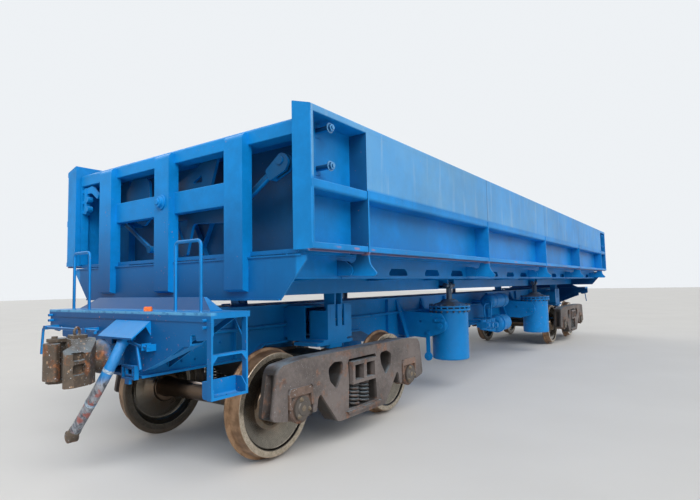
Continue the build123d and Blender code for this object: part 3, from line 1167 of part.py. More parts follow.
def end_wall():
    """Inner end wall of the load space with its columns and sloped stiffeners."""
    x0 = -END_WALL_X
    back = x0 - WALL_PLATE
    half = FLOOR_HALF_WIDTH
    wall = block(back, x0, -half, half, FLOOR_TOP_Z, END_WALL_TOP_Z)
    cap = block(-BODY_END_X + TOP_BEAM_DEPTH, x0, -half, half, END_WALL_TOP_Z - 14, END_WALL_TOP_Z)
    pieces = [wall, cap]
    for side in (-1, 1):
        y0, y1 = side * 1140, side * 1270
        pieces.append(block(back - WALL_COLUMN_DEPTH, back - WALL_COLUMN_DEPTH + 8, y0, y1, FLOOR_TOP_Z,
                            END_WALL_TOP_Z - 14))
        for y in (y0, y1 - side * 8):
            pieces.append(block(back - 66, back, y, y + side * 8, FLOOR_TOP_Z, END_WALL_TOP_Z - 14))
        pieces.append(plate_x([(side * 160, 2070), (side * 172, 2070), (side * -52, FLOOR_TOP_Z),
                               (side * -64, FLOOR_TOP_Z)],
                              back - 50, back))
    return joined(pieces)


# Side doors

def end_cell_bolts(end):
    """Strip and two long bolts in the recessed cells at one end of the left door."""
    y_in, y_out = -DOOR_INNER_Y, -DOOR_OUTER_Y
    x = end * (DOOR_HALF_LENGTH - END_BOLT_SETBACK)
    low, high = DOOR_MIDDLE_RAIL_Z + DOOR_RAIL_HEIGHT / 2, DOOR_TOP_OUTER_Z
    pieces = [block(x - 64, x - 40, y_in, y_in - 34, low - 5, high - 45)]
    for z in END_BOLT_Z:
        pieces.append(bar("Y", y_out + 34, y_in, (x, z), 21))
        pieces.append(block(x - 42, x + 42, y_in - 14, y_in, z - 46, z + 46))
    return pieces


def rib_foot(x0, x1):
    """Curved foot of a door rib, from the bottom rail down to the hinge pin."""
    y_in, y_out = -DOOR_INNER_Y, -DOOR_OUTER_Y
    rows = [(y_in - 60, DOOR_BOTTOM_Z + 5, 0), (y_out + 6, DOOR_BOTTOM_Z + 5, 0),
            (y_out - 8, HINGE_Z + 40, 90),
            (y_out - 74, HINGE_Z - 34, 30), (y_out - 40, HINGE_Z - 52, 16),
            (-HINGE_Y - 30, HINGE_Z - HINGE_BOSS_RADIUS, 30),
            (-HINGE_Y + HINGE_BOSS_RADIUS, HINGE_Z - HINGE_BOSS_RADIUS, 38),
            (-HINGE_Y + HINGE_BOSS_RADIUS, HINGE_Z + HINGE_BOSS_RADIUS, 38), (y_in - 50, HINGE_Z + 66, 40)]
    foot = cast_x(rows, x0, x1)
    return foot - bar("X", x0 - 5, x1 + 5, (-HINGE_Y, HINGE_Z), HINGE_PIN_RADIUS + 0.5)


def door():
    """Left side door: inner sheet, hollow top band, rails, ribs with curved feet and end posts."""
    y_in, y_out = -DOOR_INNER_Y, -DOOR_OUTER_Y
    length = DOOR_HALF_LENGTH
    t = DOOR_PLATE
    band_half = RIB_STATIONS[-1]
    mid0 = DOOR_MIDDLE_RAIL_Z - DOOR_RAIL_HEIGHT / 2
    mid1 = DOOR_MIDDLE_RAIL_Z + DOOR_RAIL_HEIGHT / 2
    bottom1 = DOOR_BOTTOM_Z + DOOR_BOTTOM_RAIL_HEIGHT
    sheet = block(-length, length, y_in, y_in - t, DOOR_BOTTOM_Z, DOOR_TOP_INNER_Z - 20)
    top = cast_x([(y_in, DOOR_TOP_INNER_Z, 6), (y_out, DOOR_TOP_OUTER_Z, 14),
                  (y_out, DOOR_TOP_OUTER_Z - 50, 8),
                  (y_in, DOOR_TOP_OUTER_Z - 50, 0)], -length, length)
    band = block(-band_half, band_half, y_out, y_out + t, mid1 - 5, DOOR_TOP_OUTER_Z - 45)
    middle = cast_x([(y_in, mid1, 0), (y_out, mid1, 10), (y_out, mid0, 22), (y_in, mid0, 0)], -length, length)
    bottom = cast_x([(y_in, bottom1, 0), (y_out, bottom1, 8), (y_out, DOOR_BOTTOM_Z, 8),
                     (y_in, DOOR_BOTTOM_Z, 0)],
                    -length, length)
    lip = cast_x([(y_out + 46, DOOR_BOTTOM_Z + 4, 0), (y_out + 34, DOOR_BOTTOM_Z + 4, 0),
                  (y_out + 26, DOOR_BOTTOM_Z - 14, 3),
                  (y_out + 34, DOOR_BOTTOM_Z - 14, 3)], -length, length)
    pieces = [sheet, top, band, middle, bottom, lip]
    for end in (-1, 1):
        near, far = sorted((end * length, end * (length - DOOR_END_POST)))
        pieces.append(cast_z([(near, y_in, 0), (far, y_in, 0), (far, y_out, 12), (near, y_out, 12)],
                             DOOR_BOTTOM_Z + 8, DOOR_TOP_OUTER_Z - 8))
        pieces += end_cell_bolts(end)
    for station in RIB_STATIONS:
        x0, x1 = station - RIB_THICKNESS / 2, station + RIB_THICKNESS / 2
        pieces.append(block(x0, x1, y_in, y_out - 6, DOOR_BOTTOM_Z - 10, mid1))
        if abs(station) > band_half - 1:
            pieces.append(block(x0, x1, y_in, y_out, mid1, DOOR_TOP_OUTER_Z - 20))
        pieces.append(rib_foot(x0, x1))
    return joined(pieces)


# Air hoses

HOSE_POINTS = (
    (-6318, -217, 1004), (-6356, -208, 925), (-6387, -184, 842), (-6411, -145, 758), (-6426, -91, 674),
    (-6433, -26, 594), (-6435, 47, 514), (-6434, 125, 436), (-6430, 206, 359),
)


def hose_radii():
    """Arc radius at each corner of the hose route: 0.45 of the shorter run over tan of half the turn."""
    radii = []
    points = [Vector(*p) for p in HOSE_POINTS]
    for before, corner, after in zip(points, points[1:], points[2:]):
        run_in, run_out = corner - before, after - corner
        turn = run_in.get_angle(run_out)
        radii.append(0.45 * min(run_in.length, run_out.length) / tan(radians(turn / 2)))
    return radii


def air_hose():
    radii = hose_radii()
    print("hose arc radii", [round(r) for r in radii])
    path = FilletPolyline(*HOSE_POINTS, radius=radii)
    start = Vector(*HOSE_POINTS[0])
    direction = Vector(*HOSE_POINTS[1]) - start
    section = Plane(origin=start, z_dir=direction) * Circle(HOSE_RADIUS)
    tube = sweep(section, path)
    print("hose length", round(path.length), "volume ratio",
          tube.volume / (3.14159265 * HOSE_RADIUS ** 2 * path.length))
    return tube


def oriented_bar(start, direction, length, radius):
    plane = Plane(origin=start, z_dir=direction)
    return Solid.extrude((plane * Circle(radius)).face(), plane.z_dir * length)


def hose_coupling():
    """Glad-hand at the lower end of the hose."""
    end = Vector(*HOSE_POINTS[-1])
    direction = (end - Vector(*HOSE_POINTS[-2])).normalized()
    neck = oriented_bar(end, direction, 60, HOSE_RADIUS + 3)
    head_at = end + direction * 85
    head = Pos(head_at.X, head_at.Y, head_at.Z) * Rot(0, 90, 0) * Cylinder(46, 64)
    return neck + head


def angle_cock():
    """Angle cock on its pipe under the front platform."""
    start = Vector(*HOSE_POINTS[0])
    direction = (Vector(*HOSE_POINTS[1]) - start).normalized()
    nut = oriented_bar(start, direction * -1, 36, HOSE_RADIUS + 5)
    centre = start + Vector(42, 0, 32)
    body = Pos(centre.X, centre.Y, centre.Z) * Sphere(44)
    pipe = bar("X", centre.X, -END_FACE_X, (centre.Y, centre.Z + 6), 24)
    stem = bar("Z", centre.Z, centre.Z + 62, (centre.X + 4, centre.Y), 9)
    handle = block(centre.X - 6, centre.X + 14, centre.Y - 84, centre.Y + 10, centre.Z + 54, centre.Z + 64)
    return joined([nut, body, pipe, stem, handle])


def write(name, pieces):
    """Write one node; a list of solids that don't touch shares the node."""
    shape = Compound(children=list(pieces)) if isinstance(pieces, (list, tuple)) else pieces
    export_step(shape, os.path.join("parts", name + ".step"))


def main():
    os.makedirs("parts", exist_ok=True)
    write("centre_sill", centre_sill())
    write("body_bolsters", [s for end in (-1, 1) for s in (joined(body_bolster(end * BOGIE_X)[:5]),
                                                           joined(body_bolster(end * BOGIE_X)[5:]),
                                                           centre_plate(end * BOGIE_X))])
    write("tipping_supports", [tipping_support(end * PIVOT_X, side) for end in (-1, 1) for side in (-1, 1)])
    write("left_tipping_pins", tipping_pins(-1))
    write("right_tipping_pins", tipping_pins(1))
    platform = end_platform()
    write("front_platform", platform)
    write("rear_platform", turned(platform))
    write("corner_steps", half_turn_pair(corner_steps()))
    write("step_boxes", half_turn_pair(step_box()))
    write("handrails", [r for rail in handrails() for r in half_turn_pair(rail)])
    rod = uncoupling_rod()
    write("uncoupling_rods", half_turn_pair(rod))
    head = coupler()
    write("front_coupler", head)
    write("rear_coupler", turned(head))
    jaw = knuckle()
    write("front_knuckle", jaw)
    write("rear_knuckle", turned(jaw))
    write("cylinder_carriers", cylinder_carriers())
    write("reservoirs", reservoirs())
    write("brake_cylinder", brake_cylinder())
    cock = angle_cock()
    write("angle_cocks", half_turn_pair(cock))
    hose = air_hose()
    write("front_air_hose", hose)
    write("rear_air_hose", turned(hose))
    gladhand = hose_coupling()
    write("front_hose_coupling", gladhand)
    write("rear_hose_coupling", turned(gladhand))
    for name, x in (("front", -BOGIE_X), ("rear", BOGIE_X)):
        write(name + "_side_frames", side_frames(x))
        write(name + "_bolster", bogie_bolster(x))
        write(name + "_springs", springs(x))
        write(name + "_axle_boxes", axle_boxes(x))
        write(name + "_brake_beams", brake_beams(x))
    for n, x in enumerate((-BOGIE_X - WHEELBASE / 2, -BOGIE_X + WHEELBASE / 2, BOGIE_X - WHEELBASE / 2,
                           BOGIE_X + WHEELBASE / 2)):
        write("wheelset_%d" % (n + 1), wheelset(x))
    for end_name, end in (("front", -1), ("rear", 1)):
        for side_name, side in (("left", -1), ("right", 1)):
            place = "%s_%s" % (end_name, side_name)
            write(place + "_barrel", barrel(end * CYLINDER_X, side * CYLINDER_Y))
            write(place + "_stage", stage_tube(end * CYLINDER_X, side * CYLINDER_Y))
            write(place + "_rod", piston_rod(end * CYLINDER_X, side * CYLINDER_Y))
    write("floor_plate", floor_plate())
    write("floor_frame", floor_frame())
    frame = end_frame()
    write("front_end_frame", frame)
    write("rear_end_frame", turned(frame))
    wall = end_wall()
    write("front_end_wall", wall)
    gear = door_gear()
    write("front_door_gear", gear)
    write("rear_door_gear", [turned(piece) for piece in gear])
    write("rear_end_wall", turned(wall))
    leaf = door()
    write("left_door", leaf)
    write("right_door", flipped(leaf))


main()
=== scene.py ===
"""Side dump wagon: paint, castings, coil springs, fasteners, pipes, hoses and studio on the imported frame.

Lengths are metres.  X runs along the wagon with the front end at -X, and -Y is the left side.  What both ends have
is given for the front end; the rear end is the front end turned half round about Z.
"""
import json
import math

import bpy
from mathutils import Matrix, Vector

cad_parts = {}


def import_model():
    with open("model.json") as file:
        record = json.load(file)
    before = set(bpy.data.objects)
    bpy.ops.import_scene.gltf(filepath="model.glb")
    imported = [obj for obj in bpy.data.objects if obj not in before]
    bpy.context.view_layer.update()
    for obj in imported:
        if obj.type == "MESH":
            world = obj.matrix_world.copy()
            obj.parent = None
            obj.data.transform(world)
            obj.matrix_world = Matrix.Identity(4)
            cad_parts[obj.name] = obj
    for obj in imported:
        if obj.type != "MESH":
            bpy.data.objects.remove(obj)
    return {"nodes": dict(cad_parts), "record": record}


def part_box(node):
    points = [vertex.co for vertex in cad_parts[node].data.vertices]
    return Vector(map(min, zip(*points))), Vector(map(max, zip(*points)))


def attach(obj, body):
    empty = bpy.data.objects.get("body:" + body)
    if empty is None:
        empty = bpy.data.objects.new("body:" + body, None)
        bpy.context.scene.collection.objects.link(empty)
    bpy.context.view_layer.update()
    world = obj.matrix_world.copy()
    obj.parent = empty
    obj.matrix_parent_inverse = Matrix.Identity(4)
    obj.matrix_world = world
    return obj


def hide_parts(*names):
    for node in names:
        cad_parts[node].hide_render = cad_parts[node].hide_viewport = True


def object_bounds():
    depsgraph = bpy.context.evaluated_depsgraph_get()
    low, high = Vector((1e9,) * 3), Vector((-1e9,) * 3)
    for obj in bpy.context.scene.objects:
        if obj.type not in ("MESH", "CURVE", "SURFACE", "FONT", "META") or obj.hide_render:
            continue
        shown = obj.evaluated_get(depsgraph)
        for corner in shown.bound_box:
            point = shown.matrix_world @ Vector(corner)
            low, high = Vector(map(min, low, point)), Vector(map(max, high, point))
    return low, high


bl_info = {
    "name": "Side dump wagon",
    "version": (1, 0, 0),
    "blender": (4, 5, 0),
    "location": "View3D > Sidebar > Wagon",
    "description": "Finishes and small parts of an air-operated side dump wagon",
    "category": "Object",
}

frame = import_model()
CAD_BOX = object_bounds()

# The sign of X at each end, and of Y on each side
ENDS = (("front", -1), ("rear", 1))
SIDES = (("left", -1), ("right", 1))


def middle(node):
    """The middle of a node's box at rest."""
    low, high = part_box(node)
    return [(a + b) / 2 for a, b in zip(low, high)]


AXLES = {"wheelset_%d" % n: middle("wheelset_%d" % n)[0] for n in (1, 2, 3, 4)}
AXLE_Z = middle("wheelset_1")[2]
AXLE_END_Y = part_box("wheelset_1")[1][1]
BOGIE_X = (AXLES["wheelset_3"] + AXLES["wheelset_4"]) / 2
HALF_WHEELBASE = AXLES["wheelset_4"] - BOGIE_X

# Places on the CAD's parts
TREAD_RADIUS = 0.42
HUB_BACK_Y = 0.66
JOURNAL_Y = 0.86
SIDE_FRAME_FACE_Y = 1.065
DOOR_BOTTOM_Z = 1.642
DOOR_RAIL_SEAM_Z = 1.663
DOOR_BAND_Z = 2.11
DOOR_SEAMS_X = (-2.587, 0.0, 2.587)
DOOR_OUTER_Y = 1.633
BODY_END_X = 6.0
UPSTAND_X = 6.17
END_FACE_X = 6.225
SPRAYED_SHANK_X = 6.28
DECK_TOP_Z = 1.234
FLANGE_TOP_Z = 1.103
FLANGE_GAP_Z = 1.072

# Where the photograph was taken from, and how
CAMERA_PLACE = (-8.3746, -3.7192, 1.3944)
CAMERA_YAW = math.radians(35.271)
CAMERA_PITCH = math.radians(4.025)
CAMERA_ROLL = math.radians(-1.152)
FOCAL_PIXELS = 503.58
PICTURE_WIDTH = 700
SENSOR_WIDTH = 36.0


# Building blocks of shaders and of Geometry Nodes

class Value:
    """A number socket of a node tree; arithmetic on it adds Math nodes."""

    def __init__(self, nodes, socket):
        self.nodes = nodes
        self.socket = socket

    def __add__(self, other):
        return self.nodes.maths("ADD", self, other)

    def __sub__(self, other):
        return self.nodes.maths("SUBTRACT", self, other)

    def __rsub__(self, other):
        return self.nodes.maths("SUBTRACT", other, self)

    def __mul__(self, other):
        return self.nodes.maths("MULTIPLY", self, other)

    def __abs__(self):
        return self.nodes.maths("ABSOLUTE", self)

    __radd__ = __add__
    __rmul__ = __mul__


class Nodes:
    """A node tree, with one method that adds any node to it."""

    def __init__(self, tree):
        self.tree = tree

    def node(self, kind, settings=None, inputs=None):
        """Add a node: its settings first, then the values or links of its sockets."""
        made = self.tree.nodes.new(kind)
        for key, value in (settings or {}).items():
            setattr(made, key, value)
        for key, value in (inputs or {}).items():
            source = value.socket if isinstance(value, Value) else value
            if isinstance(source, bpy.types.NodeSocket):
                self.tree.links.new(source, made.inputs[key])
            else:
                made.inputs[key].default_value = source
        return made

    def maths(self, operation, *terms):
        made = self.node("ShaderNodeMath", {"operation": operation}, dict(enumerate(terms)))
        return Value(self, made.outputs[0])


class Finish(Nodes):
    """One material, which reads its places from the object's own coordinates."""

    def __init__(self, name):
        self.material = bpy.data.materials.new(name)
        self.material.use_nodes = True
        super().__init__(self.material.node_tree)
        self.tree.nodes.clear()
        self.coordinates = self.node("ShaderNodeTexCoord")
        self.place = self.coordinates.outputs["Object"]
        split = self.node("ShaderNodeSeparateXYZ", inputs={"Vector": self.place})
        self.x, self.y, self.z = (Value(self, split.outputs[axis]) for axis in "XYZ")

    def largest(self, a, b):
        return self.maths("MAXIMUM", a, b)

    def ramp(self, value, low, high):
        """0 below low and 1 above high, smooth between; low may be the larger one."""
        inputs = {"Value": value, "From Min": low, "From Max": high, "To Min": 0.0, "To Max": 1.0}
        made = self.node("ShaderNodeMapRange", {"interpolation_type": "SMOOTHSTEP"}, inputs)
        return Value(self, made.outputs["Result"])

    def noise(self, scale, detail=3.0, stretch=(1.0, 1.0, 1.0), offset=(0.0, 0.0, 0.0), roughness=0.55):
        """Noise over object coordinates, stretched by a scale along each axis."""
        mapping = self.node("ShaderNodeMapping", inputs={"Vector": self.place, "Scale": stretch, "Location": offset})
        inputs = {"Vector": mapping.outputs["Vector"], "Scale": scale, "Detail": detail, "Roughness": roughness}
        made = self.node("ShaderNodeTexNoise", inputs=inputs)
        return Value(self, made.outputs["Fac"])

    def facing(self, axis):
        """The surface's direction along an axis of the object."""
        split = self.node("ShaderNodeSeparateXYZ", inputs={"Vector": self.coordinates.outputs["Normal"]})
        return Value(self, split.outputs[axis])

    def facing_up(self):
        """1 where the surface faces up at rest, 0 on walls and undersides."""
        return self.ramp(self.facing("Z"), 0.25, 0.95)

    def blend(self, factor, first, second):
        """Colour between first and second, each of them a socket or three numbers."""
        ends = [end if isinstance(end, bpy.types.NodeSocket) else (*end[:3], 1.0) for end in (first, second)]
        made = self.node("ShaderNodeMix", {"data_type": "RGBA"}, {0: factor, 6: ends[0], 7: ends[1]})
        return made.outputs[2]

    def bump(self, height, strength, distance):
        made = self.node("ShaderNodeBump", inputs={"Height": height, "Strength": strength, "Distance": distance})
        return made.outputs["Normal"]

    def surface(self, **sockets):
        """Finish with a Principled shader; words in a socket's name are joined by underscores."""
        inputs = {key.replace("_", " "): value for key, value in sockets.items()}
        shader = self.node("ShaderNodeBsdfPrincipled", inputs=inputs)
        self.node("ShaderNodeOutputMaterial", inputs={"Surface": shader.outputs[0]})
        return self.material


def colours():
    return bpy.context.scene.wagon_colours


def sizes():
    return bpy.context.scene.wagon_sizes


def scaled(colour, factor):
    return tuple(min(1.0, c * factor) for c in colour)


# Finishes

def dusty_paint(name, dust_amount, grime_amount, chip_level):
    """Brushed and sprayed paint: dust on top faces, dark grime low down, painted shade low on the ends and behind
    their posts, and primer chips.
    """
    f = Finish(name)
    tone = f.noise(0.9, 4.0)
    mottle = f.noise(9.0, 5.0, roughness=0.65)
    paint = colours().paint
    colour = f.blend(f.ramp(tone * 0.7 + mottle * 0.3, 0.36, 0.64), scaled(paint, 0.80), scaled(paint, 1.14))
    streaks = f.ramp(f.noise(5.5, 4.0, stretch=(3.4, 3.4, 0.22)), 0.62, 0.76) * f.ramp(mottle, 0.42, 0.58)
    colour = f.blend(streaks * (0.10 + 0.30 * grime_amount), colour, colours().grime)
    grime = f.ramp(f.z, 1.25, 0.35) * f.ramp(mottle, 0.35, 0.72) * grime_amount
    colour = f.blend(grime, colour, colours().grime)
    # Painted shade: faces looking along X near the ends darken towards the bottom, a little less towards -Y at the
    # front end and +Y at the rear end.
    painted_end_shade = f.ramp(abs(f.facing("X")), 0.5, 0.9) * f.ramp(abs(f.x), BODY_END_X - 0.45, BODY_END_X - 0.25)
    painted_end_shade *= f.ramp(abs(f.y), DOOR_OUTER_Y - 0.17, DOOR_OUTER_Y - 0.20)
    painted_end_shade *= f.ramp(f.z, 2.4, 1.2) * (0.92 - 0.25 * f.ramp(f.x * f.y, 1.0, 8.0))
    colour = f.blend(painted_end_shade, colour, colours().painted_shade_and_weld)
    # Painted shade on the end walls set back behind the posts, from about 1.5 m up.
    recess_shade = f.ramp(f.x * f.facing("X"), 3.5, 4.5) * f.ramp(abs(f.x), BODY_END_X - 0.22, BODY_END_X - 0.28)
    colour = f.blend(recess_shade * f.ramp(f.z, 1.45, 1.60) * 0.70, colour, colours().recess_shade)
    settled = f.facing_up() * f.ramp(f.noise(5.2, 6.0, offset=(3.0, 1.0, 2.0), roughness=0.7), 0.10, 0.90)
    dust = settled * dust_amount
    colour = f.blend(dust, colour, colours().dust)
    chips = f.ramp(f.noise(46.0, 3.0, roughness=0.7), chip_level, chip_level + 0.025) * f.ramp(tone, 0.42, 0.60)
    colour = f.blend(chips * 0.8, colour, colours().primer)
    roughness = 0.36 + 0.16 * mottle + 0.30 * dust + 0.22 * grime
    return f, colour, roughness, f.bump(f.noise(2.1, 2.0) + f.noise(85.0, 2.0) * 0.02, 0.25, 0.012)


def dull(f, colour, roughness, normal):
    """Finish a weathered paint, which reflects less than a fresh one."""
    return f.surface(Base_Color=colour, Roughness=roughness, Normal=normal, Specular_IOR_Level=0.24)


def body_paint(name):
    """Blue paint of the tipping body; the doors have rusty bottom rails and a washed band with welds, paled by a
    film and a painted sheen.
    """
    f, colour, roughness, normal = dusty_paint(name, 0.30, 0.15, 0.70)
    under_rail = f.ramp(f.z, DOOR_BOTTOM_Z + 0.003, DOOR_BOTTOM_Z - 0.002)
    under_rail *= f.ramp(f.z, DOOR_BOTTOM_Z - 0.024, DOOR_BOTTOM_Z - 0.020)
    outside = f.ramp(abs(f.y), DOOR_OUTER_Y - 0.07, DOOR_OUTER_Y - 0.05)
    broken = f.ramp(f.noise(7.0, 4.0, stretch=(1.0, 0.2, 0.2)), 0.30, 0.42)
    colour = f.blend(under_rail * outside * broken * 0.55, colour, colours().rust_line)
    band = f.ramp(f.z, DOOR_BAND_Z, DOOR_BAND_Z + 0.03) * f.ramp(abs(f.facing("Y")), 0.7, 0.9) * outside
    # A pale film together with a painted sheen on the band, stronger towards -Y at the front end and +Y at the rear
    # end.
    bleached = 0.07 + 0.24 * f.ramp(f.x * f.y, -5.0, 8.0) + 0.10 * f.ramp(f.noise(1.6, 4.0), 0.4, 0.65)
    colour = f.blend(band * bleached, colour, (0.26, 0.46, 0.56))
    washed = f.ramp(f.noise(3.2, 5.0, stretch=(2.4, 2.4, 0.22), offset=(7.0, 3.0, 1.0), roughness=0.6), 0.52, 0.74)
    colour = f.blend(band * washed * 0.32, colour, (0.42, 0.52, 0.58))
    for x in DOOR_SEAMS_X:
        weld = f.ramp(abs(f.x - x), 0.014, 0.005) * band
        colour = f.blend(weld * 0.55, colour, colours().painted_shade_and_weld)
    seam = f.ramp(abs(f.z - DOOR_RAIL_SEAM_Z), 0.012, 0.002)
    seam *= f.ramp(f.noise(5.0, 4.0, offset=(4.0, 0.0, 0.0)), 0.56, 0.66)
    colour = f.blend(seam * outside * 0.5, colour, colours().primer)
    return dull(f, colour, roughness, normal)


def underframe_paint(name):
    """The same blue on sill, platforms and brackets, with more dirt, rust runs, worn edges that also carry a painted
    highlight, and painted shade on the upstand.
    """
    f, colour, roughness, normal = dusty_paint(name, 0.24, 0.38, 0.672)
    on_end = f.ramp(abs(f.x), END_FACE_X - 0.012, END_FACE_X - 0.004) * f.ramp(abs(f.facing("X")), 0.5, 0.9)
    runs = f.ramp(f.noise(16.0, 3.0, stretch=(0.1, 1.0, 0.06)), 0.64, 0.70)
    runs *= f.ramp(f.z, DECK_TOP_Z - 0.16, DECK_TOP_Z - 0.05) * f.ramp(f.z, DECK_TOP_Z - 0.01, DECK_TOP_Z - 0.05)
    colour = f.blend(on_end * runs * 0.35, colour, colours().rust_dark)
    # Worn, chipped top edge of the deck, painted lighter also as a highlight where the light catches it.
    edge = f.ramp(abs(f.z - (DECK_TOP_Z - 0.004)), 0.020, 0.008)
    edge *= f.ramp(abs(f.x), END_FACE_X - 0.05, END_FACE_X - 0.01)
    bare = f.ramp(f.noise(24.0, 4.0), 0.34, 0.52) * 0.6 + 0.4
    colour = f.blend(edge * bare * 0.65, colour, colours().worn)
    hood = f.ramp(abs(f.x), END_FACE_X + 0.004, END_FACE_X + 0.012) * f.ramp(f.z, 1.02, 1.06) * f.facing_up()
    colour = f.blend(hood * 0.25, colour, colours().paint)
    # Painted shade on the upstand's faces along X, set back behind the end face above the deck.
    upstand_shade = f.ramp(f.z, DECK_TOP_Z + 0.004, DECK_TOP_Z + 0.012) * f.ramp(abs(f.x), UPSTAND_X + 0.02, UPSTAND_X)
    upstand_shade *= f.ramp(abs(f.facing("X")), 0.2, 0.5)
    colour = f.blend(upstand_shade * 0.85, colour, colours().painted_shade_and_weld)
    return dull(f, colour, roughness, normal)


def cylinder_paint(name):
    """Blue barrels whose covers lie under a thick brown dust, with painted shade in the gap between the two flanges.
    """
    f, colour, roughness, normal = dusty_paint(name, 0.25, 0.30, 0.675)
    patchy = f.ramp(f.noise(5.0, 5.0), 0.30, 0.58) * 0.55 + 0.35
    cover = f.ramp(f.z, FLANGE_TOP_Z - 0.012, FLANGE_TOP_Z + 0.004) * patchy
    colour = f.blend(cover, colour, colours().dirt)
    # Painted shade in the gap between the two flanges.
    between = f.ramp(abs(f.z - FLANGE_GAP_Z), 0.012, 0.009)
    colour = f.blend(between * 0.85, colour, colours().recess_shade)
    return dull(f, colour, f.largest(roughness, cover * 0.85), normal)


def casting(name, base, rust_amount, speckle):
    """Sand-cast steel: grainy, brown-grey, with rust patches and pale dust."""
    f = Finish(name)
    broad = f.noise(2.6, 4.0)
    grain = f.noise(28.0, 5.0, roughness=0.7)
    colour = f.blend(f.ramp(broad * 0.7 + grain * 0.3, 0.36, 0.64), scaled(base, 0.62), scaled(base, 1.35))
    patches = f.ramp(f.noise(6.5, 5.0, offset=(2.0, 5.0, 1.0), roughness=0.68), 0.53, 0.64) * rust_amount
    rust = f.blend(f.ramp(grain, 0.4, 0.62), colours().rust_dark, colours().rust)
    colour = f.blend(patches, colour, rust)
    flecks = f.ramp(f.noise(75.0, 2.0), 0.66, 0.72) * speckle
    colour = f.blend(flecks, colour, colours().bare)
    dust = f.facing_up() * f.ramp(f.noise(7.0, 4.0), 0.28, 0.66) * 0.55
    colour = f.blend(dust, colour, colours().dust)
    height = grain * 0.35 + f.noise(160.0, 3.0) * 0.12 + broad * 0.5
    return f, colour, patches, f.bump(height, 0.55, 0.006)


def bogie_casting(name):
    """Side frames, bolsters and brake beams, with painted shade, nearly black, inside the openings of the side
    frames.
    """
    f, colour, patches, normal = casting(name, colours().casting, 0.38, 0.35)
    # Painted shade inside the openings of the side frames, on faces that do not look along Y.
    inside = f.ramp(abs(f.y), SIDE_FRAME_FACE_Y - 0.002, SIDE_FRAME_FACE_Y - 0.040) * f.ramp(f.z, 0.80, 0.76)
    opening_shade = inside * f.ramp(abs(f.facing("Y")), 0.75, 0.45)
    colour = f.blend(opening_shade * 0.85, colour, (0.016, 0.014, 0.012))
    return f.surface(Base_Color=colour, Roughness=0.62 + 0.2 * patches, Metallic=0.10, Normal=normal)


def coupler_casting(name):
    """Dark casting with orange rust and pale chips, sprayed blue where the shank meets the end plate."""
    f, colour, patches, normal = casting(name, (0.105, 0.078, 0.056), 0.95, 0.9)
    mottle = f.noise(13.0, 4.0, offset=(5.0, 2.0, 4.0))
    sprayed = f.ramp(abs(f.x) - 0.10 * mottle, SPRAYED_SHANK_X + 0.08, SPRAYED_SHANK_X)
    colour = f.blend(sprayed * f.ramp(mottle, 0.30, 0.42) * 0.85, colour, scaled(colours().paint, 0.7))
    pale = f.ramp(f.noise(30.0, 4.0, offset=(1.0, 1.0, 7.0)), 0.60, 0.68)
    colour = f.blend(pale * 0.5, colour, (0.55, 0.36, 0.22))
    return f.surface(Base_Color=colour, Roughness=0.72 + 0.15 * patches, Metallic=0.08, Normal=normal)


def bearing_casting(name):
    """Adapters and bearing rings: reddish dusty castings."""
    f, colour, patches, normal = casting(name, (0.150, 0.100, 0.078), 0.70, 0.5)
    return f.surface(Base_Color=colour, Roughness=0.66 + 0.15 * patches, Metallic=0.12, Normal=normal)


def axle_end_casting(name):
    """Bolts and cap centres at the axle ends, tan with wear."""
    f, colour, patches, normal = casting(name, (0.20, 0.155, 0.105), 0.35, 0.5)
    return f.surface(Base_Color=colour, Roughness=0.55 + 0.15 * patches, Metallic=0.2, Normal=normal)


def spring_steel(name):
    f, colour, patches, normal = casting(name, (0.034, 0.032, 0.032), 0.20, 0.2)
    return f.surface(Base_Color=colour, Roughness=0.46 + 0.25 * patches, Metallic=0.35, Normal=normal)


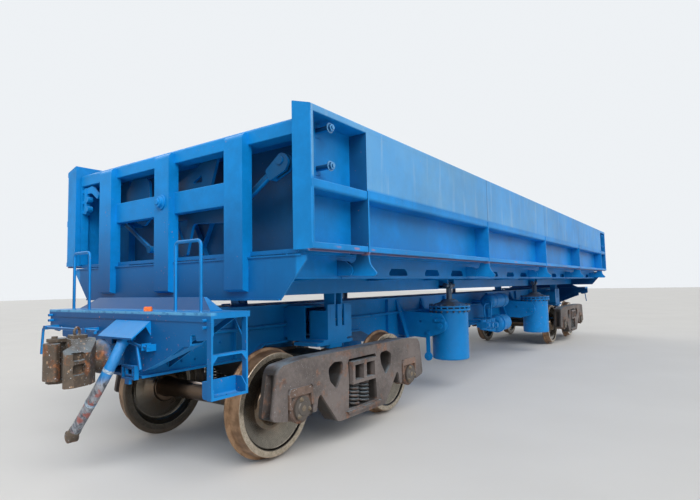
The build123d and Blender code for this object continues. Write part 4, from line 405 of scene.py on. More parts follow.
def wheel_steel(name):
    """Wheelset: rusty tread and flange, pale rim, brown-grey plate with a stained hub, brown axle and journals; a
    painted dark reflection on the rims' inner faces and painted shade in the groove between rim and plate.
    """
    f = Finish(name)
    along = abs(abs(abs(f.x) - BOGIE_X) - HALF_WHEELBASE)
    height = f.z - AXLE_Z
    radius = f.maths("SQRT", along * along + height * height)
    fine = f.noise(26.0, 4.0)
    rings = f.maths("SINE", radius * 900.0) * 0.5 + 0.5
    plate = f.blend(f.ramp(fine, 0.30, 0.72), (0.150, 0.135, 0.110), (0.190, 0.170, 0.140))
    rim = f.blend(f.ramp(fine, 0.35, 0.65), (0.38, 0.325, 0.250), (0.50, 0.43, 0.34))
    stained = f.ramp(radius, 0.30, 0.15) * f.ramp(fine, 0.20, 0.60)
    plate = f.blend(stained * 0.7, plate, (0.120, 0.070, 0.038))
    tread = f.blend(f.ramp(f.noise(11.0, 5.0), 0.35, 0.65), (0.150, 0.082, 0.040), (0.32, 0.195, 0.110))
    on_rim = f.ramp(radius, TREAD_RADIUS - 0.060, TREAD_RADIUS - 0.052)
    # Painted dark reflection: the rims' faces that look inward, towards the middle of the axle, are darkened and
    # keep the tread colour off.
    behind = f.ramp(f.y * f.facing("Y"), -0.15, -0.40)
    on_tread = f.ramp(radius, TREAD_RADIUS - 0.013, TREAD_RADIUS - 0.009) * (1.0 - behind * 0.85)
    # Painted shade in the groove between rim and plate.
    groove_shade = f.ramp(abs(radius - (TREAD_RADIUS - 0.066)), 0.008, 0.003)
    colour = f.blend(on_rim, plate, f.blend(behind * 0.9, rim, (0.085, 0.074, 0.060)))
    colour = f.blend(groove_shade * 0.8, colour, (0.035, 0.028, 0.022))
    colour = f.blend(on_tread, colour, tread)
    axle = f.ramp(abs(f.y), HUB_BACK_Y + 0.015, HUB_BACK_Y)
    colour = f.blend(axle, colour, (0.120, 0.082, 0.056))
    journal = f.ramp(abs(f.y), JOURNAL_Y - 0.04, JOURNAL_Y)
    colour = f.blend(journal, colour, (0.095, 0.082, 0.072))
    metal = 0.90 - 0.15 * on_rim - 0.40 * on_tread - 0.55 * journal
    roughness = 0.17 + 0.04 * fine + 0.03 * rings + 0.08 * on_rim + 0.20 * on_tread + 0.30 * journal
    normal = f.bump(rings * 0.10 + fine * 0.2, 0.06, 0.003)
    return f.surface(Base_Color=colour, Metallic=metal, Roughness=roughness, Normal=normal)


def pin_steel(name):
    """Machined steel of the tipping pins."""
    f = Finish(name)
    fine = f.noise(40.0, 4.0)
    base = (0.32, 0.29, 0.26)
    colour = f.blend(f.ramp(fine, 0.3, 0.7), scaled(base, 0.75), base)
    return f.surface(Base_Color=colour, Metallic=0.9, Roughness=0.34 + 0.15 * fine)


def rod_steel(name):
    """Greasy blue-grey film on the cylinders' rods and stages."""
    f = Finish(name)
    film = f.noise(14.0, 5.0, stretch=(1.0, 1.0, 0.25), roughness=0.65)
    colour = f.blend(f.ramp(film, 0.35, 0.68), (0.022, 0.045, 0.085), (0.110, 0.165, 0.230))
    return f.surface(Base_Color=colour, Metallic=0.45, Roughness=0.28 + 0.25 * film)


def hose_cover(name):
    """Hose in a worn film: blue overspray at the top, grey-white with red and rust marks lower down."""
    f = Finish(name)
    wrinkles = f.noise(34.0, 5.0, stretch=(1.0, 1.0, 0.35), roughness=0.7)
    film = f.blend(f.ramp(wrinkles, 0.38, 0.62), (0.055, 0.064, 0.085), (0.32, 0.34, 0.38))
    spots = f.noise(17.0, 4.0, stretch=(1.0, 1.0, 0.5), offset=(1.0, 4.0, 2.0))
    marks = f.ramp(spots, 0.54, 0.61) * f.ramp(f.z, 0.86, 0.76)
    colour = f.blend(marks * 0.75, film, (0.36, 0.075, 0.050))
    sprayed = f.ramp(f.z + 0.12 * wrinkles, 0.78, 0.86)
    colour = f.blend(sprayed * 0.92, colour, colours().paint)
    scuffs = f.ramp(f.noise(60.0, 3.0, stretch=(1.0, 1.0, 0.3)), 0.66, 0.72) * sprayed
    colour = f.blend(scuffs * 0.7, colour, colours().bare)
    height = wrinkles + 0.4 * f.noise(120.0, 2.0)
    return f.surface(Base_Color=colour, Roughness=0.34 + 0.2 * wrinkles, Normal=f.bump(height, 0.7, 0.006))


def tape(name):
    f = Finish(name)
    fine = f.noise(60.0, 3.0)
    colour = f.blend(f.ramp(fine, 0.4, 0.6), (0.16, 0.28, 0.42), (0.42, 0.50, 0.58))
    return f.surface(Base_Color=colour, Roughness=0.45, Normal=f.bump(fine, 0.3, 0.003))


def cap_plastic(name):
    f = Finish(name)
    fine = f.noise(90.0, 3.0)
    colour = f.blend(f.ramp(fine, 0.35, 0.65), (0.80, 0.13, 0.02), (0.90, 0.20, 0.04))
    return f.surface(Base_Color=colour, Roughness=0.4)


RECIPES = {
    "body paint": body_paint,
    "underframe paint": underframe_paint,
    "cylinder paint": cylinder_paint,
    "bogie casting": bogie_casting,
    "coupler casting": coupler_casting,
    "bearing casting": bearing_casting,
    "axle end casting": axle_end_casting,
    "spring steel": spring_steel,
    "wheel steel": wheel_steel,
    "pin steel": pin_steel,
    "rod steel": rod_steel,
    "hose cover": hose_cover,
    "hose tape": tape,
    "cap plastic": cap_plastic,
}


def both_ends(*names):
    """The names of nodes that the front and the rear end have alike."""
    return tuple("%s_%s" % (end_name, name) for end_name, end in ENDS for name in names)


BARRELS = both_ends("left_barrel", "right_barrel")

NODE_FINISHES = {
    "body paint": both_ends("end_frame", "end_wall", "door_gear") + ("floor_plate", "floor_frame", "left_door",
                                                                     "right_door"),
    "underframe paint": both_ends("platform") + ("centre_sill", "body_bolsters", "tipping_supports", "corner_steps",
                                                 "step_boxes", "handrails", "cylinder_carriers", "reservoirs",
                                                 "brake_cylinder", "angle_cocks", "uncoupling_rods"),
    "cylinder paint": BARRELS,
    "rod steel": both_ends("left_stage", "left_rod", "right_stage", "right_rod"),
    "bogie casting": both_ends("side_frames", "bolster", "brake_beams"),
    "bearing casting": both_ends("axle_boxes"),
    "spring steel": both_ends("springs"),
    "coupler casting": both_ends("coupler", "knuckle", "hose_coupling"),
    "wheel steel": tuple(AXLES),
    "pin steel": ("left_tipping_pins", "right_tipping_pins"),
    "hose cover": both_ends("air_hose"),
}


def finish(name):
    """The material of that name, made on first use."""
    return bpy.data.materials.get(name) or RECIPES[name](name)


# Helpers for meshes, curves and Geometry Nodes.  Most pieces are painted with the underframe and ride on it, so
# that is what they get where a call says nothing else.

def link(obj):
    bpy.context.scene.collection.objects.link(obj)
    return obj


def keep(obj, body="underframe"):
    """A finished piece: it rides on its body."""
    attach(obj, body)
    return obj


def frame_body(node):
    """The body that carries a CAD node."""
    return next(body for body, nodes in frame["record"]["behaviour"]["bodies"].items() if node in nodes)


def at_end(end, places):
    """Places of the front end, or turned half round about Z to the rear end, whose sign is 1."""
    return [(-end * x, -end * y, z) for x, y, z in places]


def plain_mesh(source, name):
    """The mesh that an object comes out as; the object itself is removed."""
    graph = bpy.context.evaluated_depsgraph_get()
    mesh = bpy.data.meshes.new_from_object(source.evaluated_get(graph))
    mesh.name = name
    bpy.data.objects.remove(source)
    return mesh


def points_object(name, rows):
    """A mesh of loose points, one for each (place, axis), which a Geometry Nodes tree reads."""
    mesh = bpy.data.meshes.new(name)
    mesh.from_pydata([place for place, axis in rows], [], [])
    directions = mesh.attributes.new("axis", "FLOAT_VECTOR", "POINT")
    for n, (place, axis) in enumerate(rows):
        directions.data[n].vector = axis
    return link(bpy.data.objects.new(name, mesh))


class PieceTree(Nodes):
    """A Geometry Nodes tree with named inputs for its sizes."""

    def __init__(self, name, numbers):
        super().__init__(bpy.data.node_groups.new(name, "GeometryNodeTree"))
        interface = self.tree.interface
        interface.new_socket("Geometry", in_out="INPUT", socket_type="NodeSocketGeometry")
        self.identifiers = {}
        for label, value in numbers.items():
            socket = interface.new_socket(label, in_out="INPUT", socket_type="NodeSocketFloat")
            socket.default_value = value
            self.identifiers[label] = socket.identifier
        material = interface.new_socket("Material", in_out="INPUT", socket_type="NodeSocketMaterial")
        self.identifiers["Material"] = material.identifier
        interface.new_socket("Geometry", in_out="OUTPUT", socket_type="NodeSocketGeometry")
        self.start = self.node("NodeGroupInput")
        self.end = self.node("NodeGroupOutput")

    def given(self, label):
        return Value(self, self.start.outputs[label])

    def cylinder(self, sides, radius, depth, lift=0.0):
        """A capped cylinder along Z whose middle is lifted off the point it stands on."""
        shape = self.node("GeometryNodeMeshCylinder", inputs={"Vertices": sides, "Radius": radius, "Depth": depth})
        offset = self.node("ShaderNodeCombineXYZ", inputs={"Z": lift})
        moved = self.node("GeometryNodeTransform", inputs={
            "Geometry": shape.outputs["Mesh"], "Translation": offset.outputs[0]})
        return moved.outputs["Geometry"]

    def stand_on_points(self, shape):
        """Put the shape on each point, its Z along the point's axis, and end the tree."""
        axis = self.node("GeometryNodeInputNamedAttribute", {"data_type": "FLOAT_VECTOR"}, {"Name": "axis"})
        turn = self.node("FunctionNodeAlignRotationToVector", {"axis": "Z"}, {"Vector": axis.outputs["Attribute"]})
        placed = self.node("GeometryNodeInstanceOnPoints", inputs={
            "Points": self.start.outputs["Geometry"], "Instance": shape, "Rotation": turn.outputs["Rotation"]})
        real = self.node("GeometryNodeRealizeInstances", inputs={"Geometry": placed.outputs["Instances"]})
        coated = self.node("GeometryNodeSetMaterial", inputs={
            "Geometry": real.outputs["Geometry"], "Material": self.start.outputs["Material"]})
        self.tree.links.new(coated.outputs["Geometry"], self.end.inputs["Geometry"])
        return self


def grow(name, rows, tree, look="underframe paint", **values):
    """Run a tree on a set of points and keep the result as a plain mesh."""
    source = points_object(name + "_points", rows)
    modifier = source.modifiers.new("tree", "NODES")
    modifier.node_group = tree.tree
    modifier[tree.identifiers["Material"]] = finish(look)
    for label, value in values.items():
        modifier[tree.identifiers[label.replace("_", " ")]] = value
    return link(bpy.data.objects.new(name, plain_mesh(source, name)))


def bolt_tree():
    """A washer with a six-sided head and a stub of thread above it."""
    tree = PieceTree("bolt head", {"Head Radius": 0.016, "Head Height": 0.012, "Washer Height": 0.003})
    radius, height, washer = (tree.given(label) for label in ("Head Radius", "Head Height", "Washer Height"))
    whole = tree.node("GeometryNodeJoinGeometry")
    for part in (tree.cylinder(14, radius * 1.35, washer), tree.cylinder(6, radius, height, lift=height * 0.5),
                 tree.cylinder(8, radius * 0.5, height, lift=height)):
        tree.tree.links.new(part, whole.inputs[0])
    return tree.stand_on_points(whole.outputs[0])


def clip_tree():
    """A flat clip round a pipe."""
    tree = PieceTree("pipe clip", {"Radius": 0.021, "Width": 0.03})
    return tree.stand_on_points(tree.cylinder(20, tree.given("Radius"), tree.given("Width")))


def spring_tree():
    """A round wire wound on a spiral, closed at its ends."""
    tree = PieceTree("coil spring", {"Turns": 6.0, "Radius": 0.06, "Height": 0.21, "Wire Radius": 0.012})
    spiral = tree.node("GeometryNodeCurveSpiral", inputs={
        "Resolution": 24, "Rotations": tree.given("Turns"), "Start Radius": tree.given("Radius"),
        "End Radius": tree.given("Radius"), "Height": tree.given("Height"), "Reverse": False})
    section = tree.node("GeometryNodeCurvePrimitiveCircle", {"mode": "RADIUS"}, {
        "Resolution": 10, "Radius": tree.given("Wire Radius")})
    wire = tree.node("GeometryNodeCurveToMesh", inputs={
        "Curve": spiral.outputs["Curve"], "Profile Curve": section.outputs["Curve"], "Fill Caps": True})
    smooth = tree.node("GeometryNodeSetShadeSmooth", inputs={"Geometry": wire.outputs["Mesh"]})
    return tree.stand_on_points(smooth.outputs["Geometry"])


def nurbs_curve(name, points, resolution, radius=0.0, roundness=0):
    """A curve of one open NURBS spline whose control points are the points; a radius makes it a closed tube."""
    curve = bpy.data.curves.new(name, "CURVE")
    curve.dimensions = "3D"
    curve.resolution_u = resolution
    curve.bevel_depth = radius
    curve.bevel_resolution = roundness
    curve.use_fill_caps = radius > 0
    spline = curve.splines.new("NURBS")
    spline.points.add(len(points) - 1)
    for point, place in zip(spline.points, points):
        point.co = (*place, 1.0)
    spline.order_u = 3
    spline.use_endpoint_u = True
    return link(bpy.data.objects.new(name, curve))


def tube_along(name, points, radius, look="underframe paint"):
    """A round pipe through points, bent smoothly at its corners, as a plain mesh."""
    mesh = plain_mesh(nurbs_curve(name + "_route", points, 5, radius, 3), name)
    mesh.materials.clear()
    mesh.materials.append(finish(look))
    return link(bpy.data.objects.new(name, mesh))


def solid(name, vertices, faces, look):
    mesh = bpy.data.meshes.new(name)
    mesh.from_pydata(vertices, [], faces)
    mesh.materials.append(finish(look))
    return link(bpy.data.objects.new(name, mesh))


def turned(name, outline, place, look="underframe paint", steps=20):
    """A solid of revolution about Z from (radius, height) rows that start and end on the axis."""
    vertices = [(0.0, 0.0, outline[0][1]), (0.0, 0.0, outline[-1][1])]
    rings = outline[1:-1]
    for n in range(steps):
        angle = 2 * math.pi * n / steps
        vertices += [(r * math.cos(angle), r * math.sin(angle), z) for r, z in rings]
    faces = []
    for n in range(steps):
        a = 2 + n * len(rings)
        b = 2 + ((n + 1) % steps) * len(rings)
        faces.append((0, b, a))
        faces += [(a + k, b + k, b + k + 1, a + k + 1) for k in range(len(rings) - 1)]
        faces.append((a + len(rings) - 1, b + len(rings) - 1, 1))
    piece = solid(name, vertices, faces, look)
    piece.data.transform(place)
    return piece


def bars(name, boxes, look="underframe paint"):
    """One mesh of square bars, each given by two opposite corners."""
    vertices, faces = [], []
    for low, high in boxes:
        n = len(vertices)
        vertices += [(x, y, z) for z in (low[2], high[2]) for x, y in
                     ((low[0], low[1]), (high[0], low[1]), (high[0], high[1]), (low[0], high[1]))]
        faces += [(n + 3, n + 2, n + 1, n), (n + 4, n + 5, n + 6, n + 7)]
        faces += [(n + k, n + (k + 1) % 4, n + 4 + (k + 1) % 4, n + 4 + k) for k in range(4)]
    return solid(name, vertices, faces, look)


def square_ring(low_y, high_y, low_z, high_z, width, low_x, high_x):
    """Four bars round a square opening that looks along X."""
    return [((low_x, low_y, low_z), (high_x, low_y + width, high_z)),
            ((low_x, high_y - width, low_z), (high_x, high_y, high_z)),
            ((low_x, low_y + width, low_z), (high_x, high_y - width, low_z + width)),
            ((low_x, low_y + width, high_z - width), (high_x, high_y - width, high_z))]


def ring_of_points(centre, axis, radius, count, start=0.0):
    """Points evenly round an axis along Y or Z, each with the axis as its direction."""
    axis = Vector(axis)
    across = Vector((0, 0, 1)) if abs(axis.z) < 0.5 else Vector((1, 0, 0))
    other = axis.cross(across)
    rows = []
    for n in range(count):
        angle = start + 2 * math.pi * n / count
        place = Vector(centre) + across * (radius * math.cos(angle)) + other * (radius * math.sin(angle))
        rows.append((tuple(place), tuple(axis)))
    return rows


# Pieces

def dress_nodes():
    for look, nodes in NODE_FINISHES.items():
        for node in nodes:
            for place in frame["nodes"][node].material_slots:
                place.material = finish(look)


# Coils of a bogie spring: ending of the name, turns more, wire radii inside the outer one, thickness of the wire
COILS = (("_coils", 0.0, 1.0, 1.0), ("_inner_coils", 2.0, 3.2, 0.7))


def coil_springs():
    """Outer and inner coils on the spring seats of both bogies."""
    tree = spring_tree()
    for end in ("front", "rear"):
        node = end + "_springs"
        low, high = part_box(node)
        radius = sizes().spring_radius
        wire = sizes().spring_wire
        pitch = (high[0] - low[0]) / 2 - radius
        rows = [((middle(node)[0] + along * pitch, side * (high[1] - radius), low[2] + wire), (0, 0, 1))
                for along in (-1, 1) for side in (-1, 1)]
        coils = [grow(end + label, rows, tree, "spring steel", Turns=sizes().spring_turns + more,
                      Radius=radius - inside * wire, Height=high[2] - low[2] - 2 * wire, Wire_Radius=wire * thick)
                 for label, more, inside, thick in COILS]
        for piece in coils:
            keep(piece, end + "_bogie")
        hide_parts(node)


# Rings at a barrel's flanges: ending of the name, height over the top, way along Z, radius, length, finish
FLANGE_RINGS = (
    ("_bolts", 0.001, 1, 0.013, 0.014, "cylinder paint"),
    ("_bolt_shanks", -0.042, 1, 0.011, 0.022, "underframe paint"),
    ("_nuts", -0.067, -1, 0.014, 0.016, "rod steel"),
)
FLANGE_BOLTS = 20


def barrel_bolts(tree):
    """Bolts, shanks and nuts round the two flanges at the top of each tipping cylinder."""
    for node in BARRELS:
        x, y = middle(node)[:2]
        for label, over, way, radius, height, look in FLANGE_RINGS:
            rows = ring_of_points((x, y, FLANGE_TOP_Z + over), (0, 0, way), sizes().cover_bolt_ring, FLANGE_BOLTS)
            piece = grow(node + label, rows, tree, look, Head_Radius=radius, Head_Height=height)
            keep(piece, frame_body(node))


AXLE_CAP_DEPTH = 0.007
AXLE_BOLT_RING = 0.072


def axle_cap_bolts(tree):
    """Three bolts and a plug in the middle of each axle's end cap."""
    for name, x in AXLES.items():
        plugs = [((x, side * (AXLE_END_Y - AXLE_CAP_DEPTH), AXLE_Z), (0, side, 0)) for side in (-1, 1)]
        bolts = [row for place, axis in plugs for row in ring_of_points(place, axis, AXLE_BOLT_RING, 3, start=0.3)]
        for label, rows, radius, height in (("_bolts", bolts, 0.014, 0.012), ("_plugs", plugs, 0.024, 0.008)):
            piece = grow(name + label, rows, tree, "axle end casting", Head_Radius=radius, Head_Height=height)
            keep(piece, frame_body(name))


SILL_FLANGE_DEPTH = 0.046
DRAFT_BOLT_X = 0.26
DRAFT_BOLT_PITCH = 0.13
DRAFT_BOLT_COLUMNS = 5
DRAFT_BOLT_HEIGHTS = (0.82, 0.93)


def draft_gear_bolts(tree):
    """Two rows of bolts on each side of the sill, where the draft gear sits behind both end plates."""
    web_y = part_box("centre_sill")[1][1] - SILL_FLANGE_DEPTH
    rows = [((end * (END_FACE_X - DRAFT_BOLT_X - DRAFT_BOLT_PITCH * column), side * web_y, z), (0, side, 0))
            for end in (-1, 1) for side in (-1, 1) for column in range(DRAFT_BOLT_COLUMNS)
            for z in DRAFT_BOLT_HEIGHTS]
    keep(grow("draft_gear_bolts", rows, tree, Head_Radius=0.012, Head_Height=0.01))


DOOR_BOLT_X = 5.595
DOOR_BOLT_DEPTH = 0.034
DOOR_BOLT_HEIGHTS = (2.508, 2.235)


def door_bolt_nuts(tree):
    """Nuts on the long bolts in the doors' end cells."""
    for side_name, side in SIDES:
        rows = [((end * DOOR_BOLT_X, side * (DOOR_OUTER_Y - DOOR_BOLT_DEPTH), z), (0, side, 0))
                for end in (-1, 1) for z in DOOR_BOLT_HEIGHTS]
        piece = grow(side_name + "_door_nuts", rows, tree, "body paint", Head_Radius=0.028, Head_Height=0.022,
                     Washer_Height=0.006)
        keep(piece, side_name + "_door")


HOSE_ROUTE = (
    (-6.318, -0.217, 1.004), (-6.356, -0.208, 0.925), (-6.387, -0.184, 0.842), (-6.411, -0.145, 0.758),
    (-6.426, -0.091, 0.674), (-6.433, -0.026, 0.594), (-6.435, 0.047, 0.514), (-6.434, 0.125, 0.436),
    (-6.430, 0.206, 0.359),
)
HOSE_DIAMETER = 0.078
HOSE_RESOLUTION = 8
HOSE_BAND_HEIGHTS = (0.818, 0.585)
HOSE_BAND_LENGTH = 0.024
HOSE_BAND_THICKNESS = 0.003


def route_points(route):
    """Points along the smooth line of a route, read from its NURBS spline."""
    mesh = plain_mesh(nurbs_curve("route", route, HOSE_RESOLUTION), "route")
    places = [vertex.co.copy() for vertex in mesh.vertices]
    bpy.data.meshes.remove(mesh)
    return places


def hose_band(name, line, height):
    """A tape band round the hose where its line passes the given height."""
    near = min(range(1, len(line) - 1), key=lambda n: abs(line[n].z - height))
    along = (line[near + 1] - line[near - 1]).normalized() * (HOSE_BAND_LENGTH / 2)
    places = [line[near] + along * step for step in (-1.0, -0.4, 0.4, 1.0)]
    return keep(tube_along(name, places, HOSE_DIAMETER / 2 + HOSE_BAND_THICKNESS, "hose tape"))


def air_hose(end_name, end):
    """One hose: a NURBS cord along the CAD route with tape bands round it."""
    route = at_end(end, HOSE_ROUTE)
    hose = nurbs_curve(end_name + "_hose", route, HOSE_RESOLUTION, HOSE_DIAMETER / 2, 5)
    hose.data.materials.append(finish("hose cover"))
    keep(hose)
    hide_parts(end_name + "_air_hose")
    line = route_points(route)
    head = frame["nodes"][end_name + "_hose_coupling"]
    bands = [hose_band("%s_hose_band_%d" % (end_name, n + 1), line, height)
             for n, height in enumerate(HOSE_BAND_HEIGHTS)]
    [head] + bands


COCK_SPINDLE = ((-6.300, -0.240, 1.030), (-6.292, -0.300, 1.012), (-6.285, -0.400, 0.990), (-6.282, -0.500, 0.982))
COCK_HANDLE = ((-6.284, -0.352, 0.988), (-6.284, -0.360, 0.955), (-6.284, -0.385, 0.870), (-6.284, -0.394, 0.828))
COCK_LUGS = ((-0.430, 0.988), (-0.490, 0.984))


def cock_handles():
    """The spindle and hanging handle of each angle cock, with the spindle's bearing on the end plate."""
    lugs = [((-END_FACE_X - 0.075, y - 0.006, z - 0.024), (-END_FACE_X - 0.0005, y + 0.006, z + 0.024))
            for y, z in COCK_LUGS]
    for end_name, end in ENDS:
        for label, route, radius in (("spindle", COCK_SPINDLE, 0.011), ("handle", COCK_HANDLE, 0.013)):
            keep(tube_along("%s_cock_%s" % (end_name, label), at_end(end, route), radius))
        keep(bars(end_name + "_cock_bearing", [at_end(end, lug) for lug in lugs]))


CAP_OUTLINE = ((0.0, 0.0), (0.017, 0.0), (0.019, 0.003), (0.018, 0.026), (0.012, 0.034), (0.0, 0.034))
CAP_PLACES = ((-END_FACE_X + 0.030, -0.369), (-END_FACE_X + 0.024, -0.333))


def deck_caps():
    """Two orange thread caps standing at the front deck's edge."""
    for n, (x, y) in enumerate(CAP_PLACES):
        cap = turned("deck_cap_%d" % (n + 1), CAP_OUTLINE, Matrix.Translation((x, y, DECK_TOP_Z)), "cap plastic")
        keep(cap)


# The far and near X of the outer ring, the inner ring with its foot, and the two ties between them
BRACKET_RING_X = (-END_FACE_X - 0.036, -END_FACE_X - 0.001)
BRACKET_HOOK_X = (-END_FACE_X - 0.030, -END_FACE_X - 0.008)
BRACKET_TIE_X = (-END_FACE_X - 0.028, -END_FACE_X - 0.010)


def hose_brackets():
    """The square ring under each end plate that a hanging hose hooks into."""
    rows = square_ring(-0.284, -0.112, 0.738, 0.838, 0.013, *BRACKET_RING_X)
    rows += square_ring(-0.250, -0.150, 0.762, 0.824, 0.011, *BRACKET_HOOK_X)
    for (far_x, near_x), low, high in ((BRACKET_HOOK_X, (-0.205, 0.700), (-0.150, 0.740)),
                                       (BRACKET_TIE_X, (-0.285, 0.787), (-0.249, 0.799)),
                                       (BRACKET_TIE_X, (-0.151, 0.787), (-0.111, 0.799))):
        rows.append(((far_x, *low), (near_x, *high)))
    for end_name, end in ENDS:
        keep(bars(end_name + "_hose_bracket", [at_end(end, row) for row in rows]))


TRUNNION_PLACE = (2.376, 0.866, 0.850)
FITTING_THICKNESS = 0.012
STAY_Y = 0.700
STAY_TOP_Z = 0.780
STAY_EYE_Z = 0.455
STAY_EYE_OUTLINE = ((0.0, -0.026), (0.020, -0.026), (0.022, -0.014), (0.054, -0.012), (0.054, 0.012), (0.022, 0.014),
                    (0.020, 0.026), (0.0, 0.026))


def trunnion_fittings(tree):
    """Keeper plate and bolts beside each trunnion, and the stay link that hangs from each carrier."""
    x, y, z = TRUNNION_PLACE
    keeper = ((y - 0.075, z + 0.050), (y + 0.055, z + 0.092))
    stay = ((STAY_Y - 0.027, STAY_EYE_Z), (STAY_Y + 0.027, STAY_TOP_Z))
    bolt_places = ((y - 0.055, z + 0.071), (y + 0.035, z + 0.071), (STAY_Y, STAY_TOP_Z - 0.03))
    rows, bolts = [], []
    for end_name, end in ENDS:
        for side_name, side in SIDES:
            low_x, high_x = sorted((end * x, end * (x + FITTING_THICKNESS)))
            for low, high in (keeper, stay):
                low_y, high_y = sorted((side * low[0], side * high[0]))
                rows.append(((low_x, low_y, low[1]), (high_x, high_y, high[1])))
            bolts += [((end * (x + FITTING_THICKNESS), side * bolt_y, bolt_z), (end, 0, 0))
                      for bolt_y, bolt_z in bolt_places]
            place = Matrix.Translation((end * (x + FITTING_THICKNESS / 2), side * STAY_Y, STAY_EYE_Z))
            place @= Matrix.Rotation(math.pi / 2, 4, "Y")
            keep(turned("stay_eye_%s_%s" % (end_name, side_name), STAY_EYE_OUTLINE, place))
    keep(bars("trunnion_keepers", rows))
    keep(grow("trunnion_bolts", bolts, tree, Head_Radius=0.013, Head_Height=0.010))


VALVE_PIPE = ((0.060, -0.640, 1.040), (-0.120, -0.640, 1.040), (-0.175, -0.640, 1.000), (-0.175, -0.640, 0.860),
              (-0.150, -0.640, 0.790))
SILL_PIPE_X = (-5.95, -2.0, 2.0, 5.95)
SILL_PIPE_Y = 0.286
SILL_PIPE_Z = 1.02
SILL_CLIPS_X = (-5.6, -4.95, -3.1, -1.6, 0.0, 1.6, 3.1, 4.95, 5.6)


def sill_pipes():
    """The air pipes along both sides of the sill, held by clips, and the pipe down to the brake valve."""
    tree = clip_tree()
    keep(tube_along("valve_pipe", VALVE_PIPE, 0.010))
    for side_name, side in SIDES:
        y = side * SILL_PIPE_Y
        keep(tube_along(side_name + "_sill_pipe", [(x, y, SILL_PIPE_Z) for x in SILL_PIPE_X], 0.017))
        keep(grow(side_name + "_sill_clips", [((x, y, SILL_PIPE_Z), (1, 0, 0)) for x in SILL_CLIPS_X], tree))


# Stage

def camera():
    data = bpy.data.cameras.new("camera")
    data.sensor_width = SENSOR_WIDTH
    data.lens = FOCAL_PIXELS / PICTURE_WIDTH * SENSOR_WIDTH
    data.clip_end = 300.0
    obj = link(bpy.data.objects.new("camera", data))
    forward = Vector((math.cos(CAMERA_PITCH) * math.cos(CAMERA_YAW), math.cos(CAMERA_PITCH) * math.sin(CAMERA_YAW),
                      math.sin(CAMERA_PITCH)))
    level = Vector((math.sin(CAMERA_YAW), -math.cos(CAMERA_YAW), 0.0))
    raised = level.cross(forward)
    right = level * math.cos(CAMERA_ROLL) + raised * math.sin(CAMERA_ROLL)
    up = raised * math.cos(CAMERA_ROLL) - level * math.sin(CAMERA_ROLL)
    turn = Matrix((right, up, -forward)).transposed()
    obj.matrix_world = Matrix.Translation(CAMERA_PLACE) @ turn.to_4x4()
    bpy.context.scene.camera = obj


BACKDROP_STRENGTH = 0.95


def sky_level(nodes):
    """The sky's strength: nearly white to the camera, in reflections and through glass, weaker as light."""
    path = nodes.node("ShaderNodeLightPath")
    seen = path.outputs["Is Camera Ray"]
    for ray in ("Is Glossy Ray", "Is Transmission Ray"):
        seen = nodes.maths("MAXIMUM", seen, path.outputs[ray])
    level = nodes.node("ShaderNodeMapRange", inputs={
        "Value": seen, "To Min": sizes().sky_strength, "To Max": BACKDROP_STRENGTH})
    return level.outputs["Result"]


def world():
    made = bpy.data.worlds.new("studio")
    made.use_nodes = True
    back = made.node_tree.nodes["Background"]
    back.inputs["Color"].default_value = (0.90, 0.93, 0.96, 1.0)
    made.node_tree.links.new(sky_level(Nodes(made.node_tree)), back.inputs["Strength"])
    bpy.context.scene.world = made


FLOOR_HALF = 90.0
FLOOR_GAP = 0.001


def floor():
    z = CAD_BOX[0][2] - FLOOR_GAP
    corners = [(x * FLOOR_HALF, y * FLOOR_HALF, z) for x, y in ((-1, -1), (1, -1), (1, 1), (-1, 1))]
    mesh = bpy.data.meshes.new("floor")
    mesh.from_pydata(corners, [], [(0, 1, 2, 3)])
    f = Finish("studio floor")
    colour = f.blend(f.ramp(f.noise(0.6, 3.0), 0.3, 0.7), (0.625, 0.615, 0.595), (0.650, 0.640, 0.620))
    mesh.materials.append(f.surface(Base_Color=colour, Roughness=0.8))
    link(bpy.data.objects.new("floor", mesh))


def soft_sun(name, towards, strength):
    """Even light from one side of the sky."""
    data = bpy.data.lights.new(name, "SUN")
    data.angle = math.radians(45)
    data.energy = strength
    obj = link(bpy.data.objects.new(name, data))
    obj.rotation_euler = (-Vector(towards)).to_track_quat("-Z", "Y").to_euler()


def panel_lamp(name, place, target, size, power):
    data = bpy.data.lights.new(name, "AREA")
    data.size = size
    data.energy = power
    obj = link(bpy.data.objects.new(name, data))
    obj.location = place
    obj.rotation_euler = (Vector(target) - Vector(place)).to_track_quat("-Z", "Y").to_euler()


# Soft suns: name, where the light comes from, and share of the key light's strength
SUNS = (("key", (-6.0, -10.0, 9.0), 1.0), ("fill", (7.0, -10.0, 9.0), 0.22), ("back", (3.0, 12.0, 8.0), 0.30))


def studio():
    bpy.context.scene.view_settings.view_transform = "Standard"
    camera()
    world()
    floor()
    for name, towards, share in SUNS:
        soft_sun(name, towards, sizes().sun_strength * share)
    panel_lamp("front", (-14.0, -4.0, 8.0), (-6.0, 0.0, 2.2), 6.0, sizes().lamp_power)


# Add-on

def colour_property(name, description, default):
    return bpy.props.FloatVectorProperty(name=name, description=description, default=default, subtype="COLOR",
                                         size=3, min=0.0, max=1.0)


def length_property(name, description, default):
    return bpy.props.FloatProperty(name=name, description=description, default=default, min=0.0, unit="LENGTH")


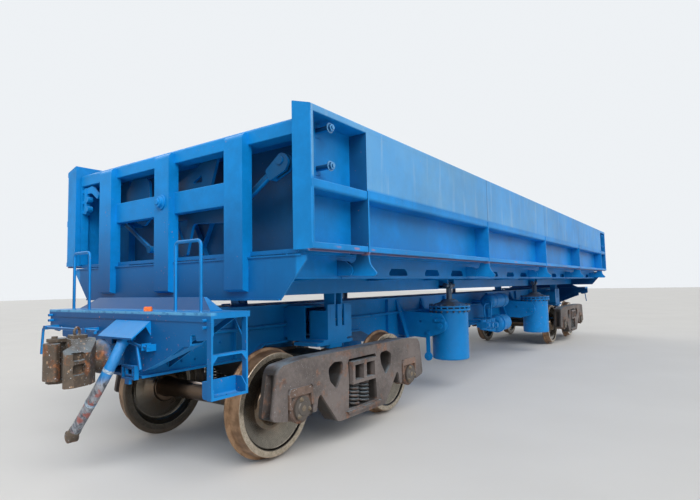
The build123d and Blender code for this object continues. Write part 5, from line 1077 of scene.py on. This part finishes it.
class WagonColours(bpy.types.PropertyGroup):
    """Colours of the paint, the dirt and the bare metal."""

    paint: colour_property("Paint", "Blue of body and underframe", (0.002, 0.215, 0.575))
    # Painted shade colour for the lower ends and the upstand; the weld lines on the door bands also use it as their
    # own dark colour.
    painted_shade_and_weld: colour_property("Shaded paint", "Deeper blue low on the ends", (0.001, 0.052, 0.175))
    # Painted shade colour, not dirt: used behind the posts of the ends and in the gap between a cylinder's two
    # flanges.
    recess_shade: colour_property("Recess", "Dark dirt behind the posts of the ends", (0.006, 0.020, 0.045))
    # Lighter blue of worn top edges, which also serves as a painted highlight on them.
    worn: colour_property("Worn paint", "Sun-bleached blue on top edges", (0.130, 0.420, 0.680))
    rust_line: colour_property("Rust line", "Thin rust along the doors' bottom rails", (0.30, 0.120, 0.075))
    primer: colour_property("Primer", "Red primer where the paint is missing", (0.52, 0.17, 0.075))
    dust: colour_property("Dust", "Pale dust on faces that look up", (0.28, 0.38, 0.44))
    dirt: colour_property("Dirt", "Brown dirt on the cylinder covers", (0.105, 0.098, 0.085))
    grime: colour_property("Grime", "Dark splashed dirt low down", (0.012, 0.040, 0.095))
    bare: colour_property("Bare metal", "Chipped pale spots", (0.55, 0.60, 0.64))
    casting: colour_property("Casting", "Unpainted bogie castings", (0.118, 0.099, 0.092))
    rust: colour_property("Rust", "Bright rust", (0.36, 0.135, 0.050))
    rust_dark: colour_property("Dark rust", "Old rust", (0.13, 0.055, 0.028))


class WagonSizes(bpy.types.PropertyGroup):
    """Sizes of the small parts and the strength of the studio's light."""

    spring_radius: length_property("Spring radius", "Outside radius of a bogie spring", 0.072)
    spring_wire: length_property("Spring wire", "Radius of a bogie spring's wire", 0.0135)
    spring_turns: bpy.props.FloatProperty(name="Spring turns", description="Turns of a bogie spring", default=5.5)
    cover_bolt_ring: length_property("Cover bolt ring", "Radius of the bolt ring on a cylinder cover", 0.259)
    sky_strength: bpy.props.FloatProperty(name="Sky", description="Light from all round", default=0.30)
    sun_strength: bpy.props.FloatProperty(name="Sun", description="Strength of the soft key light", default=2.25)
    lamp_power: bpy.props.FloatProperty(name="Lamp power", description="Lamp at the front", default=520.0)


class WAGON_OT_finishes(bpy.types.Operator):
    """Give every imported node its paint, casting or steel"""

    bl_idname = "wagon.finishes"
    bl_label = "Finishes"

    def execute(self, context):
        dress_nodes()
        return {"FINISHED"}


class WAGON_OT_springs(bpy.types.Operator):
    """Wind the coil springs of both bogies"""

    bl_idname = "wagon.springs"
    bl_label = "Coil springs"

    def execute(self, context):
        coil_springs()
        return {"FINISHED"}


class WAGON_OT_fasteners(bpy.types.Operator):
    """Set the bolts, nuts and washers"""

    bl_idname = "wagon.fasteners"
    bl_label = "Fasteners"

    def execute(self, context):
        tree = bolt_tree()
        barrel_bolts(tree)
        axle_cap_bolts(tree)
        draft_gear_bolts(tree)
        door_bolt_nuts(tree)
        trunnion_fittings(tree)
        return {"FINISHED"}


class WAGON_OT_hoses(bpy.types.Operator):
    """Hang the air hoses at both ends"""

    bl_idname = "wagon.hoses"
    bl_label = "Air hoses"

    def execute(self, context):
        for end_name, end in ENDS:
            air_hose(end_name, end)
        return {"FINISHED"}


class WAGON_OT_deck_caps(bpy.types.Operator):
    """Stand the orange thread caps on the deck's edge"""

    bl_idname = "wagon.deck_caps"
    bl_label = "Deck caps"

    def execute(self, context):
        deck_caps()
        return {"FINISHED"}


class WAGON_OT_hose_brackets(bpy.types.Operator):
    """Hang the square hose brackets under the end plates"""

    bl_idname = "wagon.hose_brackets"
    bl_label = "Hose brackets"

    def execute(self, context):
        hose_brackets()
        return {"FINISHED"}


class WAGON_OT_cock_handles(bpy.types.Operator):
    """Fit the spindles and handles of the angle cocks"""

    bl_idname = "wagon.cock_handles"
    bl_label = "Cock handles"

    def execute(self, context):
        cock_handles()
        return {"FINISHED"}


class WAGON_OT_sill_pipes(bpy.types.Operator):
    """Run the air pipes along the sill"""

    bl_idname = "wagon.sill_pipes"
    bl_label = "Sill pipes"

    def execute(self, context):
        sill_pipes()
        return {"FINISHED"}


class WAGON_OT_stage(bpy.types.Operator):
    """Set up camera, world, floor and lamps"""

    bl_idname = "wagon.stage"
    bl_label = "Stage"

    def execute(self, context):
        studio()
        return {"FINISHED"}


OPERATORS = (WAGON_OT_stage, WAGON_OT_hoses, WAGON_OT_finishes, WAGON_OT_springs, WAGON_OT_fasteners,
             WAGON_OT_deck_caps, WAGON_OT_hose_brackets, WAGON_OT_cock_handles, WAGON_OT_sill_pipes)


class WAGON_PT_panel(bpy.types.Panel):
    """Buttons and values of the wagon"""

    bl_idname = "WAGON_PT_panel"
    bl_label = "Side dump wagon"
    bl_space_type = "VIEW_3D"
    bl_region_type = "UI"
    bl_category = "Wagon"

    def draw(self, context):
        for operator in OPERATORS:
            self.layout.operator(operator.bl_idname)
        for group in (context.scene.wagon_colours, context.scene.wagon_sizes):
            for name in group.__annotations__:
                self.layout.prop(group, name)


CLASSES = (WagonColours, WagonSizes) + OPERATORS + (WAGON_PT_panel,)


def register():
    for item in CLASSES:
        bpy.utils.register_class(item)
    bpy.types.Scene.wagon_colours = bpy.props.PointerProperty(type=WagonColours)
    bpy.types.Scene.wagon_sizes = bpy.props.PointerProperty(type=WagonSizes)


def unregister():
    del bpy.types.Scene.wagon_sizes
    del bpy.types.Scene.wagon_colours
    for item in reversed(CLASSES):
        bpy.utils.unregister_class(item)


def main():
    register()
    for operator in OPERATORS:
        group, name = operator.bl_idname.split(".")
        getattr(getattr(bpy.ops, group), name)()


if __name__ == "__main__":
    main()
